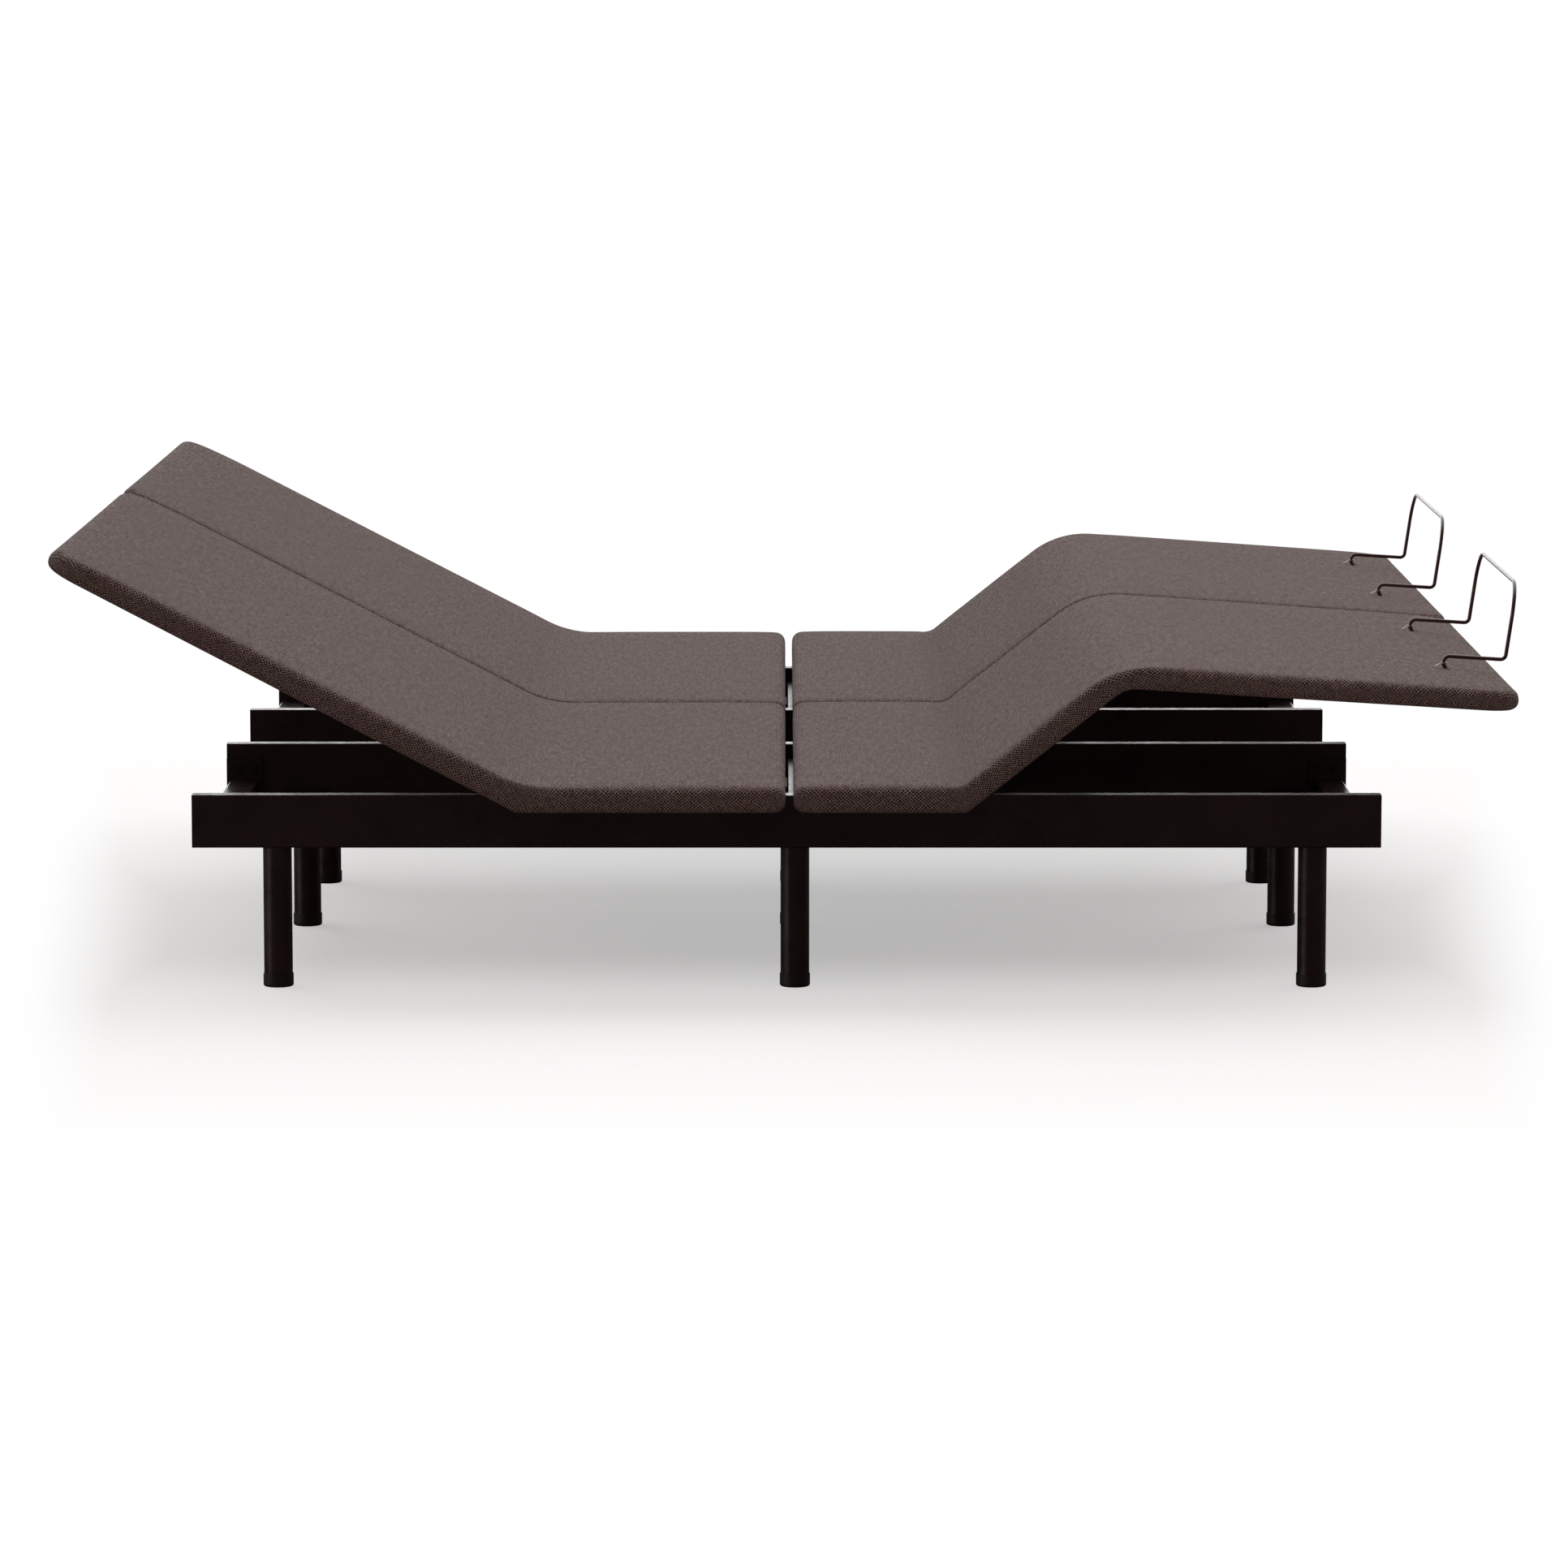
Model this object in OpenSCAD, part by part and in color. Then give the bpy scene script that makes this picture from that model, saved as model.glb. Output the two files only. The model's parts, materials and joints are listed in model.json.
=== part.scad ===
// Split pair of adjustable bed bases: two identical units that stand side by side, each with its
// own frame, legs, upholstered deck, head lift, leg lift and mattress retainer bar.
// Millimetres. +X points from the head to the foot, +Y from the right unit to the left one
// (as a sleeper lying on the back sees them) and +Z up. The floor is z = 0.
// The sections are drawn raised, and the joints turn them from there.

/* [Pose] */
// Angle of the head section above flat
head_angle = 27.65; // [0:0.05:59]
// Angle of the thigh section above flat
thigh_angle = 38.4; // [0:0.1:44]
// Angle by which the foot section turns down from the thigh section
knee_angle = 41.9; // [0:0.1:48]
// Largest angle that the head lift reaches
head_angle_max = 60; // [50:1:65]
// Largest angle that the thigh lift reaches
thigh_angle_max = 45; // [40:1:50]

/* [Units] */
// Width of one unit's deck
deck_w = 955; // [900:1:990]
// Gap between the two units' decks
unit_gap = 10; // [4:1:40]
// X of the middle of the whole part, measured from the middle of the rails
part_mid_x = 6.9; // [0:0.1:10]

/* [Deck lengths] */
// X of the head hinge
head_hinge_x = -351.9; // [-380:0.1:-340]
// X of the thigh hinge
thigh_hinge_x = 236.3; // [225:0.1:250]
// X of the middle of the gap between the head half and the foot half
half_gap_x = 3.75; // [-5:0.25:15]
// Width of the gap between the two halves
half_gap = 9.5; // [4:0.5:15]
// Head section, from its hinge to its far end
head_len = 683.9; // [600:0.1:720]
// Thigh section, from its hinge to the knee
thigh_len = 259.5; // [240:0.1:300]
// Foot section, from the knee to its far end
foot_len = 503.1; // [480:0.1:560]

/* [Upholstery] */
// Thickness of the front seat section, board and pad together
front_seat_t = 37; // [32:0.5:45]
// Thickness of the head section at its far end
head_tip_t = 33; // [30:0.5:42]
// Thickness of the rear seat section
rear_seat_t = 38; // [32:0.5:45]
// Thickness of the thigh section
thigh_t = 35; // [32:0.5:45]
// Thickness of the foot section at the knee
foot_t = 35; // [32:0.5:45]
// Thickness of the foot section at its far end
foot_tip_t = 29.5; // [28:0.5:38]
// Plan radius of the deck's outer corners
outer_corner_r = 48; // [30:1:70]
// Plan radius of the corners at the middle gap
inner_corner_r = 20; // [12:1:28]
// Radius of the deck's top edges
top_edge_r = 12; // [10:0.5:18]
// Radius of the deck's bottom edges
bottom_edge_r = 8; // [4:0.5:10]
// Thickness of the plywood boards
board_t = 12; // [9:1:15]
// Distance that a board stays inside its pad's edge
board_inset = 10; // [9:1:20]

/* [Side rails] */
// Length of a side rail
rail_len = 1568; // [1540:1:1600]
// Width of a side rail
rail_w = 28; // [26:1:34]
// Height of a side rail
rail_h = 70; // [66:1:80]
// Wall of the rails, cross tubes and lift frames
tube_wall = 2; // [1.5:0.25:2.5]
// Outer corner radius of those tubes
tube_r = 2.5; // [0.5:0.25:3]
// Width over the outer faces of the two rails
frame_w = 585; // [570:1:620]
// Distance of the board tabs from the folds of the front seat, the middle gap and the thigh
tab_in = 50; // [48:0.5:56]

/* [Cross tubes] */
// Width of the tubes at the head and foot ends
end_tube_w = 40; // [34:1:50]
// Height of the tubes at the head and foot ends
end_tube_h = 20; // [18:1:24]
// Width of the middle cross tube
mid_tube_w = 25; // [20:1:30]
// Height of the middle cross tube
mid_tube_h = 46; // [44:1:48]
// Thickness of the plates welded on the tube ends
end_plate_t = 4; // [3:0.5:5]
// Height of those plates
end_plate_h = 50; // [46:1:54]

/* [Legs] */
// Diameter of a leg
leg_d = 38; // [32:1:40]
// Height of the rails above the floor, which is the length of a leg with its glide
leg_h = 187; // [150:1:260]
// Distance of a leg's axis from the rail's outer face
leg_inset = 21; // [20:0.5:22]
// X of the middle legs
mid_leg_x = 11; // [5:1:20]
// Distance of the end legs from the middle legs
leg_span = 684; // [670:1:686]
// Wall of a leg tube
leg_wall = 2; // [1.5:0.25:3]
// Height of a glide cap
glide_h = 17; // [14:1:25]
// Wall of a glide cap around its leg
glide_wall = 1; // [0.8:0.1:2]
// Thickness of a glide cap under its leg
glide_floor = 4; // [3:0.5:6]

/* [Hinges] */
// Distance of every hinge axis below the boards' underside
hinge_drop = 10; // [9.8:0.1:10.4]
// Diameter of the hinge pins
pin_d = 10; // [8:0.5:10.5]
// Diameter of the lugs round the hinge pins
lug_d = 19; // [17:0.5:19.5]
// Diameter of a hinge pin's head
pin_head_d = 17; // [14:0.5:18]
// Thickness of lugs and links
lug_t = 6; // [5:0.5:6]
// Running clearance between a pin and its bore, on the radius
running_gap = 0.05; // [0.02:0.01:0.1]
// Free gap that each section keeps from its fold plane
fold_gap = 1; // [0.8:0.1:2]

/* [Foot link] */
// X of the link's pivot on the rail, from the thigh hinge
link_frame_x = 67.7; // [67:0.1:68.5]
// Distance of that pivot below the thigh hinge
link_frame_drop = 33.4; // [33:0.1:34]
// Distance of the link's pivot on the foot section from the knee
link_foot_x = 60; // [59.5:0.1:60.5]
// Distance of that pivot below the knee axis
link_foot_drop = 30; // [29.5:0.1:30.5]
// Width of the link
link_w = 18; // [15:1:20]
// Diameter of the stud that the link's open end reaches round
link_stud_d = 8; // [7:0.5:8.5]
// Clearance of the link's open end round its stud, on the radius
link_open_gap = 1; // [0.6:0.1:1.5]

/* [Lift frames] */
// Side of the square tubes of the lift frames
arm_w = 25; // [22:1:28]
// Distance from the hinge axis to where the arms start
arm_start = 16; // [15:0.5:22]
// Length of the head lift frame from its hinge
head_frame_len = 480; // [400:5:540]
// Distance of the levers' drive line below the hinge axis
lever_drop = 62; // [60:1:64]
// Thickness of a lever plate
lever_t = 5; // [4:0.5:6]
// Half of the space between the two plates of a lever
lever_half_gap = 12; // [11:0.5:14]
// Distance from a lever's slot to its edge
lever_rim = 6.5; // [5:0.5:8]
// Extra width of a lever's slot over its pin, on the radius
slot_gap = 1.5; // [1.4:0.1:1.8]

/* [Lift actuators] */
// Diameter of an actuator's outer tube
actuator_tube_d = 34; // [30:1:38]
// Diameter of its rod
rod_d = 22; // [18:1:24]
// Diameter of the eye at the rod's end
rod_eye_d = 22; // [20:1:24]
// Diameter of the drive pin through the eye
drive_pin_d = 10; // [8:0.5:10]
// Length of the gear housing
gear_len = 60; // [50:1:66]
// Width of the gear housing
gear_w = 56; // [50:1:60]
// Height of the gear housing
gear_h = 52; // [44:1:56]
// Diameter of the motor
motor_d = 46; // [40:1:48]
// Length of the motor beside the tube
motor_len = 105; // [80:1:120]
// Thickness of the mounting flange
flange_t = 6; // [5:0.5:8]
// Gap between the lever at its nearest and the actuator's tube
lever_run_gap = 8; // [6:0.5:12]

/* [Retainer bar] */
// Diameter of the wire
wire_d = 5; // [4:0.5:6]
// Distance between the bar's two feet
bar_span = 470; // [420:5:520]
// Shift of the bar from the deck's middle, positive towards the left
bar_shift = -30; // [-60:5:60]
// Distance of the feet from the end of the foot section
bar_foot_in = 79; // [70:1:100]
// Distance of the upright loop beyond the end of the foot section
bar_loop_out = 1.7; // [0:0.1:10]
// Height of the lower wires over the deck at the feet
bar_low_h = 15.8; // [14:0.1:20]
// Height of the top wire over the boards' underside
bar_top_h = 146.6; // [125:0.1:180]
// Outward lean of the loop
bar_lean = 4.8; // [0:0.1:8]
// Radius of the two bends at the foot of the loop
bar_bend_r = 7; // [4:0.5:10]
// Radius of the bends over the feet
bar_foot_bend_r = 8; // [5:0.5:8]
// Radius of the top bends
bar_top_bend_r = 45; // [20:1:50]
// Angle at which the wire's tails go down into the deck, from upright
tail_angle = 42; // [35:1:45]
// Distance that a clip's claws reach from the wire
clip_reach = 11; // [10:0.5:16]
// Thickness of the clip's claws
claw_t = 1; // [0.8:0.1:1.5]
// Width of the clip's claws
claw_w = 4; // [3:0.5:5]

/* [Fasteners] */
// Diameter of the bolts
bolt_d = 8; // [6:0.5:8]
// Length of the bolts under the head
bolt_len = 14; // [12:0.5:15]
// Diameter of the bolt heads
bolt_head_d = 14; // [12:0.5:14]
// Height of the bolt heads
bolt_head_h = 4; // [3:0.5:5]
// Clearance of a bolt in its hole, on the radius
bolt_gap = 0.2; // [0.1:0.05:0.4]

/* [Control box] */
// Length of the control box
box_l = 160; // [140:1:180]
// Width of the control box
box_w = 110; // [90:1:130]
// Height of the control box
box_h = 38; // [34:1:44]
// Depth of the power inlet
inlet_depth = 14; // [10:1:18]

/* [Hidden] */
$fn = 48;
SIDES = ["right", "left"];
PIECES = [
    "outer_rail", "inner_rail", "head_cross_tube", "middle_cross_tube", "foot_cross_tube",
    "legs", "leg_glides", "hinge_pins", "frame_bolts", "control_box",
    "front_seat_board", "rear_seat_board", "front_seat_pad", "rear_seat_pad",
    "head_board", "head_pad", "head_lift_frame", "head_actuator", "head_actuator_rod",
    "thigh_board", "thigh_pad", "thigh_lift_frame", "leg_actuator", "leg_actuator_rod",
    "foot_board", "foot_pad", "foot_brackets", "foot_link_bar", "retainer_bar", "retainer_clips"
];

unit_pitch = deck_w + unit_gap;

// Levels
rail_top = leg_h + rail_h;
deck_rest_gap = 0.4;
deck_z = rail_top + deck_rest_gap;
hinge_z = deck_z - hinge_drop;

// Places across a unit, on its +Y side
rail_in = frame_w/2 - rail_w;
lug_out = rail_in - 1.5;
lug_in = lug_out - lug_t;
side_gap = 0.5;
pin_head_h = 5;
pin_head_out = lug_in - side_gap;
leg_y = frame_w/2 - leg_inset;
leg_xs = [mid_leg_x - leg_span, mid_leg_x, mid_leg_x + leg_span];
ear_out = lug_in - 1.5;
ear_t = 6;
stud_over = 0.6;

// Folds
head_half_angle = head_angle_max/2;
thigh_half_angle = thigh_angle_max/2;
head_fold = hinge_drop*tan(head_half_angle) + fold_gap/cos(head_half_angle);
thigh_fold = hinge_drop*tan(thigh_half_angle) + fold_gap/cos(thigh_half_angle);
board_end_gap = 3;
half_head_x = half_gap_x - half_gap/2;
half_foot_x = half_gap_x + half_gap/2;
foot_taper = atan((foot_t - foot_tip_t)/foot_len);

// Frame joints
weld_nut_d = 13;
weld_nut_h = 8;
weld_over = 0.5;
leg_plate_l = 60;
leg_plate_t = 4;
leg_plate_over = 4;
tab_l = 30;
tab_t = 3;
tab_w = 30;
tab_y = rail_in - tab_w/2;
tab_xs = [head_hinge_x + tab_in, half_head_x - tab_in, half_foot_x + tab_in, thigh_hinge_x - tab_in];
end_plate_over = 5;
end_plate_l = end_tube_w + 2*end_plate_over;
end_bolt_rise = 15;
end_bolt_z = leg_h + end_tube_h + end_bolt_rise;
nut_edge = 1;
end_bolt_pitch = end_tube_w - weld_nut_d - 2*nut_edge;
mid_tube_shift = 2;
mid_tube_x = mid_leg_x + mid_tube_shift;
mid_tube_z = leg_h + leg_plate_t;
mid_plate_over = 24;
mid_plate_l = mid_tube_w + 2*mid_plate_over;
mid_bolt_pitch = mid_tube_w + mid_plate_over;
mid_bolt_z = mid_tube_z + mid_tube_h/2;
head_tube_x = -rail_len/2 + end_plate_l/2;
foot_tube_x = rail_len/2 - end_plate_l/2;
hinge_xs = [head_hinge_x, thigh_hinge_x];
link_pin_x = thigh_hinge_x + link_frame_x;
link_pin_z = hinge_z - link_frame_drop;

// Levers and actuators
drive_z = hinge_z - lever_drop;
slot_r = drive_pin_d/2 + slot_gap;
slot_spare = 1;
lug_over = 40;
first_bar_in = 4;
thigh_bar_in = 20;
crossbar_gap = 0.2;
flange_w = 92;
flange_bolt_y = 38;
eye_half_w = lever_half_gap - 2;
rod_grip = 60;
head_drive_x = head_hinge_x - lever_drop*tan(head_angle - head_half_angle);
leg_drive_x = thigh_hinge_x + lever_drop*tan(thigh_angle - thigh_half_angle);
head_drive_near = head_hinge_x + lever_drop*tan(head_half_angle);
leg_drive_near = thigh_hinge_x + lever_drop*tan(thigh_half_angle);
head_drive_far = head_hinge_x - lever_drop*tan(head_half_angle);
leg_drive_far = thigh_hinge_x - lever_drop*tan(thigh_half_angle);
lever_end_r = slot_r + lever_rim;
head_tube_front = head_drive_near + lever_end_r + lever_run_gap;
leg_tube_front = leg_drive_near + lever_end_r + lever_run_gap;

// Retainer bar, in the foot section's own frame
bar_foot_x = foot_len - bar_foot_in;
bar_loop_x = foot_len + bar_loop_out;
foot_top_at_bar = hinge_drop + foot_t - bar_foot_x*tan(foot_taper);
bar_low_z = foot_top_at_bar + bar_low_h;
bar_top_z = hinge_drop + bar_top_h;
clip_ring_h = 2;
clip_ring_wall = 1.5;
clip_gap = 0.1;
tail_bend_r = 5;
tail_bend_z = bar_low_z - bar_foot_bend_r - clip_ring_h;
tail_x = bar_foot_x + tail_bend_r*(1 - cos(tail_angle));
tail_z = tail_bend_z - tail_bend_r*sin(tail_angle);
tail_end_z = hinge_drop + 2;
tail_len = (tail_z - tail_end_z)/cos(tail_angle);
cut_over = 100;
tail_over = 12;
tail_gap = 0.15;
tail_pad_gap = 0.5;
wire_over = 0.3;
weld_hair = 0.05;

steel_black = [0.07, 0.06, 0.06];
steel_dark = [0.12, 0.11, 0.11];
zinc = [0.62, 0.62, 0.63];
plywood = [0.70, 0.56, 0.38];
fabric = [0.42, 0.37, 0.36];
bronze = [0.24, 0.17, 0.14];
plastic_black = [0.05, 0.05, 0.05];

// ---------- Placement ----------

module unit(side) {
    translate([-part_mid_x, (side == "left" ? 1 : -1)*unit_pitch/2, 0]) children();
}

// The section frames start at a hinge axis and point along the section, with the boards'
// underside hinge_drop above the axis.
module at_head() {
    translate([head_hinge_x, 0, hinge_z]) rotate([0, head_angle, 0]) mirror([1, 0, 0]) children();
}

module at_thigh() {
    translate([thigh_hinge_x, 0, hinge_z]) rotate([0, -thigh_angle, 0]) children();
}

module at_knee() {
    at_thigh() translate([thigh_len, 0, 0]) rotate([0, knee_angle, 0]) children();
}

module both_sides() {
    children();
    mirror([0, 1, 0]) children();
}

// Turns what is drawn on the +Y side to the side where the two units meet
module on_inner_side(side) {
    mirror([0, side == "left" ? 1 : 0, 0]) children();
}

// ---------- Small shapes ----------

// A box given by its two corners
module span(low, high) {
    translate(low) cube(high - low);
}

// A square bar of air that leaves a round corner of radius r at the origin's lower left
module corner_cut(r) {
    difference() {
        translate([-r, -r]) square([r + 1, r + 1]);
        translate([-r, -r]) circle(r);
    }
}

// Cylinder along Y from y0 to y1
module y_rod(r, y0, y1) {
    translate([0, y1, 0]) rotate([90, 0, 0]) cylinder(h = y1 - y0, r = r);
}

// Cylinder along X from x0 to x1
module x_rod(r, x0, x1) {
    translate([x0, 0, 0]) rotate([0, 90, 0]) cylinder(h = x1 - x0, r = r);
}

// A plate in the XZ plane from y0 to y1
module y_plate(y0, y1) {
    translate([0, y1, 0]) rotate([90, 0, 0]) linear_extrude(y1 - y0) children();
}

// Rectangle with rounded corners between two corners
module round_rect(low, high, r) {
    difference() {
        translate(low) square(high - low);
        translate(high) corner_cut(r);
        translate([low[0], high[1]]) rotate(90) corner_cut(r);
        translate(low) rotate(180) corner_cut(r);
        translate([high[0], low[1]]) rotate(270) corner_cut(r);
    }
}

// Box tube along Z with closed ends, between two corners
module tube(low, high) {
    wall = [tube_wall, tube_wall, tube_wall];
    difference() {
        translate([0, 0, low[2]]) linear_extrude(high[2] - low[2])
            round_rect([low[0], low[1]], [high[0], high[1]], tube_r);
        span(low + wall, high - wall);
    }
}

// Box tube along X between two corners
module x_tube(low, high) {
    rotate([90, 0, 90]) tube([low[1], low[2], low[0]], [high[1], high[2], high[0]]);
}

// Box tube along Y between two corners
module y_tube(low, high) {
    rotate([-90, -90, 0]) tube([low[2], low[0], low[1]], [high[2], high[0], high[1]]);
}

// Bolt with its head below z = 0 and its shank upwards
module bolt() {
    translate([0, 0, -bolt_head_h]) cylinder(h = bolt_head_h, d = bolt_head_d);
    cylinder(h = bolt_len, d = bolt_d);
}

module bolt_hole(depth) {
    translate([0, 0, -1]) cylinder(h = depth + 1, r = bolt_d/2 + bolt_gap);
}

// ---------- Frame ----------

// Places of the bolts that hold the cross tubes to the rail on the +Y side
module at_rail_bolts() {
    for (x = [head_tube_x, foot_tube_x]) {
        for (k = [-0.5, 0.5]) {
            translate([x + k*end_bolt_pitch, 0, end_bolt_z]) children();
        }
    }
    for (k = [-0.5, 0.5]) {
        translate([mid_tube_x + k*mid_bolt_pitch, 0, mid_bolt_z]) children();
    }
}

// Places of the two hinge pins on the rail on the +Y side
module at_hinge_pins() {
    for (x = hinge_xs) {
        translate([x, 0, hinge_z]) children();
    }
}

// Place of the pin of the foot link, on the rail on the +Y side
module at_link_pin() {
    translate([link_pin_x, 0, link_pin_z]) children();
}

// Rail on the +Y side. The inner rail also carries the pin of the foot link.
module rail_shape(inner) {
    wall_in = rail_in + tube_wall;
    difference() {
        union() {
            x_tube([-rail_len/2, rail_in, leg_h], [rail_len/2, frame_w/2, rail_top]);
            for (x = leg_xs) {
                span([x - leg_plate_l/2, leg_y - leg_d/2 - leg_plate_over, leg_h],
                     [x + leg_plate_l/2, rail_in + tube_r, leg_h + leg_plate_t]);
                translate([x, leg_y, leg_h]) cylinder(h = tube_wall + weld_nut_h, d = weld_nut_d);
            }
            for (x = tab_xs) {
                span([x - tab_l/2, rail_in - tab_w, rail_top - tab_t],
                     [x + tab_l/2, rail_in + tube_r, rail_top]);
            }
            at_rail_bolts() y_rod(weld_nut_d/2, rail_in, wall_in + weld_nut_h);
            at_hinge_pins() y_rod(weld_nut_d/2, rail_in, wall_in + weld_nut_h);
            if (inner) {
                at_link_pin() y_rod(weld_nut_d/2, rail_in, wall_in + weld_nut_h);
            }
        }
        for (x = leg_xs) {
            translate([x, leg_y, leg_h]) bolt_hole(tube_wall + weld_nut_h + 1);
        }
        for (x = tab_xs) {
            translate([x, tab_y, rail_top - tab_t]) bolt_hole(tab_t + 1);
        }
        at_rail_bolts() y_rod(bolt_d/2 + bolt_gap, rail_in - 1, wall_in + weld_nut_h + 1);
        at_hinge_pins() y_rod(bolt_d/2 + bolt_gap, rail_in - 1, wall_in + weld_nut_h + 1);
        if (inner) {
            at_link_pin() y_rod(bolt_d/2 + bolt_gap, rail_in - 1, wall_in + weld_nut_h + 1);
        }
    }
}

module outer_rail(side) {
    color(steel_black) mirror([0, side == "right" ? 1 : 0, 0]) rail_shape(false);
}

module inner_rail(side) {
    color(steel_black) on_inner_side(side) rail_shape(true);
}

// Tube along Y between the rails, on plates that bolt to them
module cross_tube(x, z, w, h, plate_l, plate_z, bolt_pitch, bolt_z, flange_z, flange_face) {
    difference() {
        union() {
            y_tube([x - w/2, end_plate_t - rail_in, z], [x + w/2, rail_in - end_plate_t, z + h]);
            both_sides() span([x - plate_l/2, rail_in - end_plate_t, plate_z],
                              [x + plate_l/2, rail_in, plate_z + end_plate_h]);
            if (flange_face != 0) {
                for (y = [-flange_bolt_y, flange_bolt_y]) {
                    translate([x + flange_face*w/2, y, flange_z]) mirror([flange_face > 0 ? 1 : 0, 0, 0])
                        x_rod(weld_nut_d/2, 0, tube_wall + weld_nut_h - 1);
                }
            }
        }
        both_sides() {
            for (k = [-0.5, 0.5]) {
                translate([x + k*bolt_pitch, 0, bolt_z])
                    y_rod(bolt_d/2 + bolt_gap, rail_in - end_plate_t - 1, rail_in + 1);
            }
        }
        if (flange_face != 0) {
            for (y = [-flange_bolt_y, flange_bolt_y]) {
                translate([x + flange_face*w/2, y, flange_z]) mirror([flange_face > 0 ? 1 : 0, 0, 0])
                    x_rod(bolt_d/2 + bolt_gap, -1, tube_wall + weld_nut_h);
            }
        }
    }
}

module head_cross_tube() {
    color(steel_black) cross_tube(head_tube_x, leg_h, end_tube_w, end_tube_h,
        end_plate_l, leg_h, end_bolt_pitch, end_bolt_z, 0, 0);
}

module middle_cross_tube() {
    color(steel_black) cross_tube(mid_tube_x, mid_tube_z, mid_tube_w, mid_tube_h,
        mid_plate_l, mid_tube_z, mid_bolt_pitch, mid_bolt_z, mid_bolt_z, -1);
}

module foot_cross_tube() {
    color(steel_black) cross_tube(foot_tube_x, leg_h, end_tube_w, end_tube_h,
        end_plate_l, leg_h, end_bolt_pitch, end_bolt_z, leg_h + end_tube_h/2, -1);
}

// ---------- Legs ----------

module leg_shape() {
    plug = 6;
    difference() {
        translate([0, 0, glide_floor]) cylinder(h = leg_h - glide_floor, d = leg_d);
        cylinder(h = leg_h - plug, d = leg_d - 2*leg_wall);
    }
    translate([0, 0, leg_h - weld_over]) cylinder(h = tube_wall + weld_nut_h + weld_over, d = bolt_d);
}

// Cup that the leg stands in, with a small round at its lower edge
module glide_shape() {
    fit = 0.1;
    round_r = 3;
    outer_r = leg_d/2 + fit + glide_wall;
    difference() {
        union() {
            translate([0, 0, round_r]) cylinder(h = glide_h - round_r, r = outer_r);
            cylinder(h = round_r, r = outer_r - round_r);
            translate([0, 0, round_r]) rotate_extrude() {
                translate([outer_r - round_r, 0]) intersection() {
                    circle(round_r);
                    translate([0, -round_r]) square([round_r, round_r]);
                }
            }
        }
        translate([0, 0, glide_floor]) cylinder(h = glide_h, r = leg_d/2 + fit);
    }
}

module at_legs() {
    both_sides() {
        for (x = leg_xs) {
            translate([x, leg_y, 0]) children();
        }
    }
}

module legs() {
    color(steel_black) at_legs() leg_shape();
}

module leg_glides() {
    color(plastic_black) at_legs() glide_shape();
}

// ---------- Pins and bolts ----------

// Shoulder pin: thread in the rail's weld nut, shoulder through the lug, head on the inner side
module pin_shape() {
    y_rod(bolt_d/2, rail_in - weld_over, rail_in + tube_wall + weld_nut_h);
    y_rod(pin_d/2, pin_head_out - weld_over, rail_in);
    y_rod(pin_head_d/2, pin_head_out - pin_head_h, pin_head_out);
}

module hinge_pins(side) {
    color(zinc) {
        both_sides() at_hinge_pins() pin_shape();
        on_inner_side(side) at_link_pin() pin_shape();
    }
}

module flange_bolts(x, z) {
    for (y = [-flange_bolt_y, flange_bolt_y]) {
        translate([x - flange_t, y, z]) rotate([0, 90, 0]) bolt();
    }
}

module frame_bolts() {
    color(zinc) {
        both_sides() {
            at_rail_bolts() translate([0, rail_in - end_plate_t, 0]) rotate([-90, 0, 0]) bolt();
            for (x = tab_xs) {
                translate([x, tab_y, rail_top - tab_t]) bolt();
            }
        }
        flange_bolts(mid_tube_x - mid_tube_w/2, mid_bolt_z);
        flange_bolts(foot_tube_x - end_tube_w/2, leg_h + end_tube_h/2);
    }
}

// ---------- Deck ----------

// Upholstered section from x0 to x1 over the underside z = 0. Its ends lean by lean0 and lean1
// (run over rise). An end whose corner radius is above 0 is a free end with rounded edges.
module pad_shape(x0, x1, t0, t1, lean0, lean1, corner0, corner1) {
    w = deck_w;
    taper = atan((t0 - t1)/(x1 - x0));
    long = x1 - x0 + 2*cut_over;
    difference() {
        y_plate(-w/2, w/2) difference() {
            polygon([[x0, 0], [x1, 0], [x1 + lean1*t1, t1], [x0 + lean0*t0, t0]]);
            if (corner0 > 0) {
                translate([x0, t0]) mirror([1, 0]) corner_cut(top_edge_r);
                translate([x0, 0]) rotate(180) corner_cut(bottom_edge_r);
            }
            if (corner1 > 0) {
                translate([x1, t1]) corner_cut(top_edge_r);
                translate([x1, 0]) mirror([0, 1]) corner_cut(bottom_edge_r);
            }
        }
        both_sides() {
            if (corner0 > 0) {
                translate([x0, w/2, -1]) linear_extrude(t0 + 2) mirror([1, 0]) corner_cut(corner0);
            }
            if (corner1 > 0) {
                translate([x1, w/2, -1]) linear_extrude(t1 + 2) corner_cut(corner1);
            }
            translate([x0, w/2, t0]) rotate([0, taper, 0]) translate([-cut_over, 0, 0])
                rotate([90, 0, 90]) linear_extrude(long) corner_cut(top_edge_r);
            translate([x0 - cut_over, w/2, 0]) rotate([90, 0, 90]) linear_extrude(long)
                mirror([0, 1]) corner_cut(bottom_edge_r);
        }
    }
}

// Plywood board inside a pad. grow widens it, for the pocket that the pad has for it.
module board_shape(x0, x1, corner0, corner1, grow) {
    y1 = deck_w/2 - board_inset + grow;
    a = x0 - grow;
    b = x1 + grow;
    down = grow > 0 ? 1 : 0;
    difference() {
        span([a, -y1, -down], [b, y1, board_t]);
        both_sides() {
            if (corner0 > 0) {
                translate([a, y1, -2]) linear_extrude(board_t + 4) mirror([1, 0]) corner_cut(corner0);
            }
            if (corner1 > 0) {
                translate([b, y1, -2]) linear_extrude(board_t + 4) corner_cut(corner1);
            }
        }
    }
}

board_corner = outer_corner_r - board_inset;
gap_corner = inner_corner_r - board_inset/2;
pocket_gap = 0.3;

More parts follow.
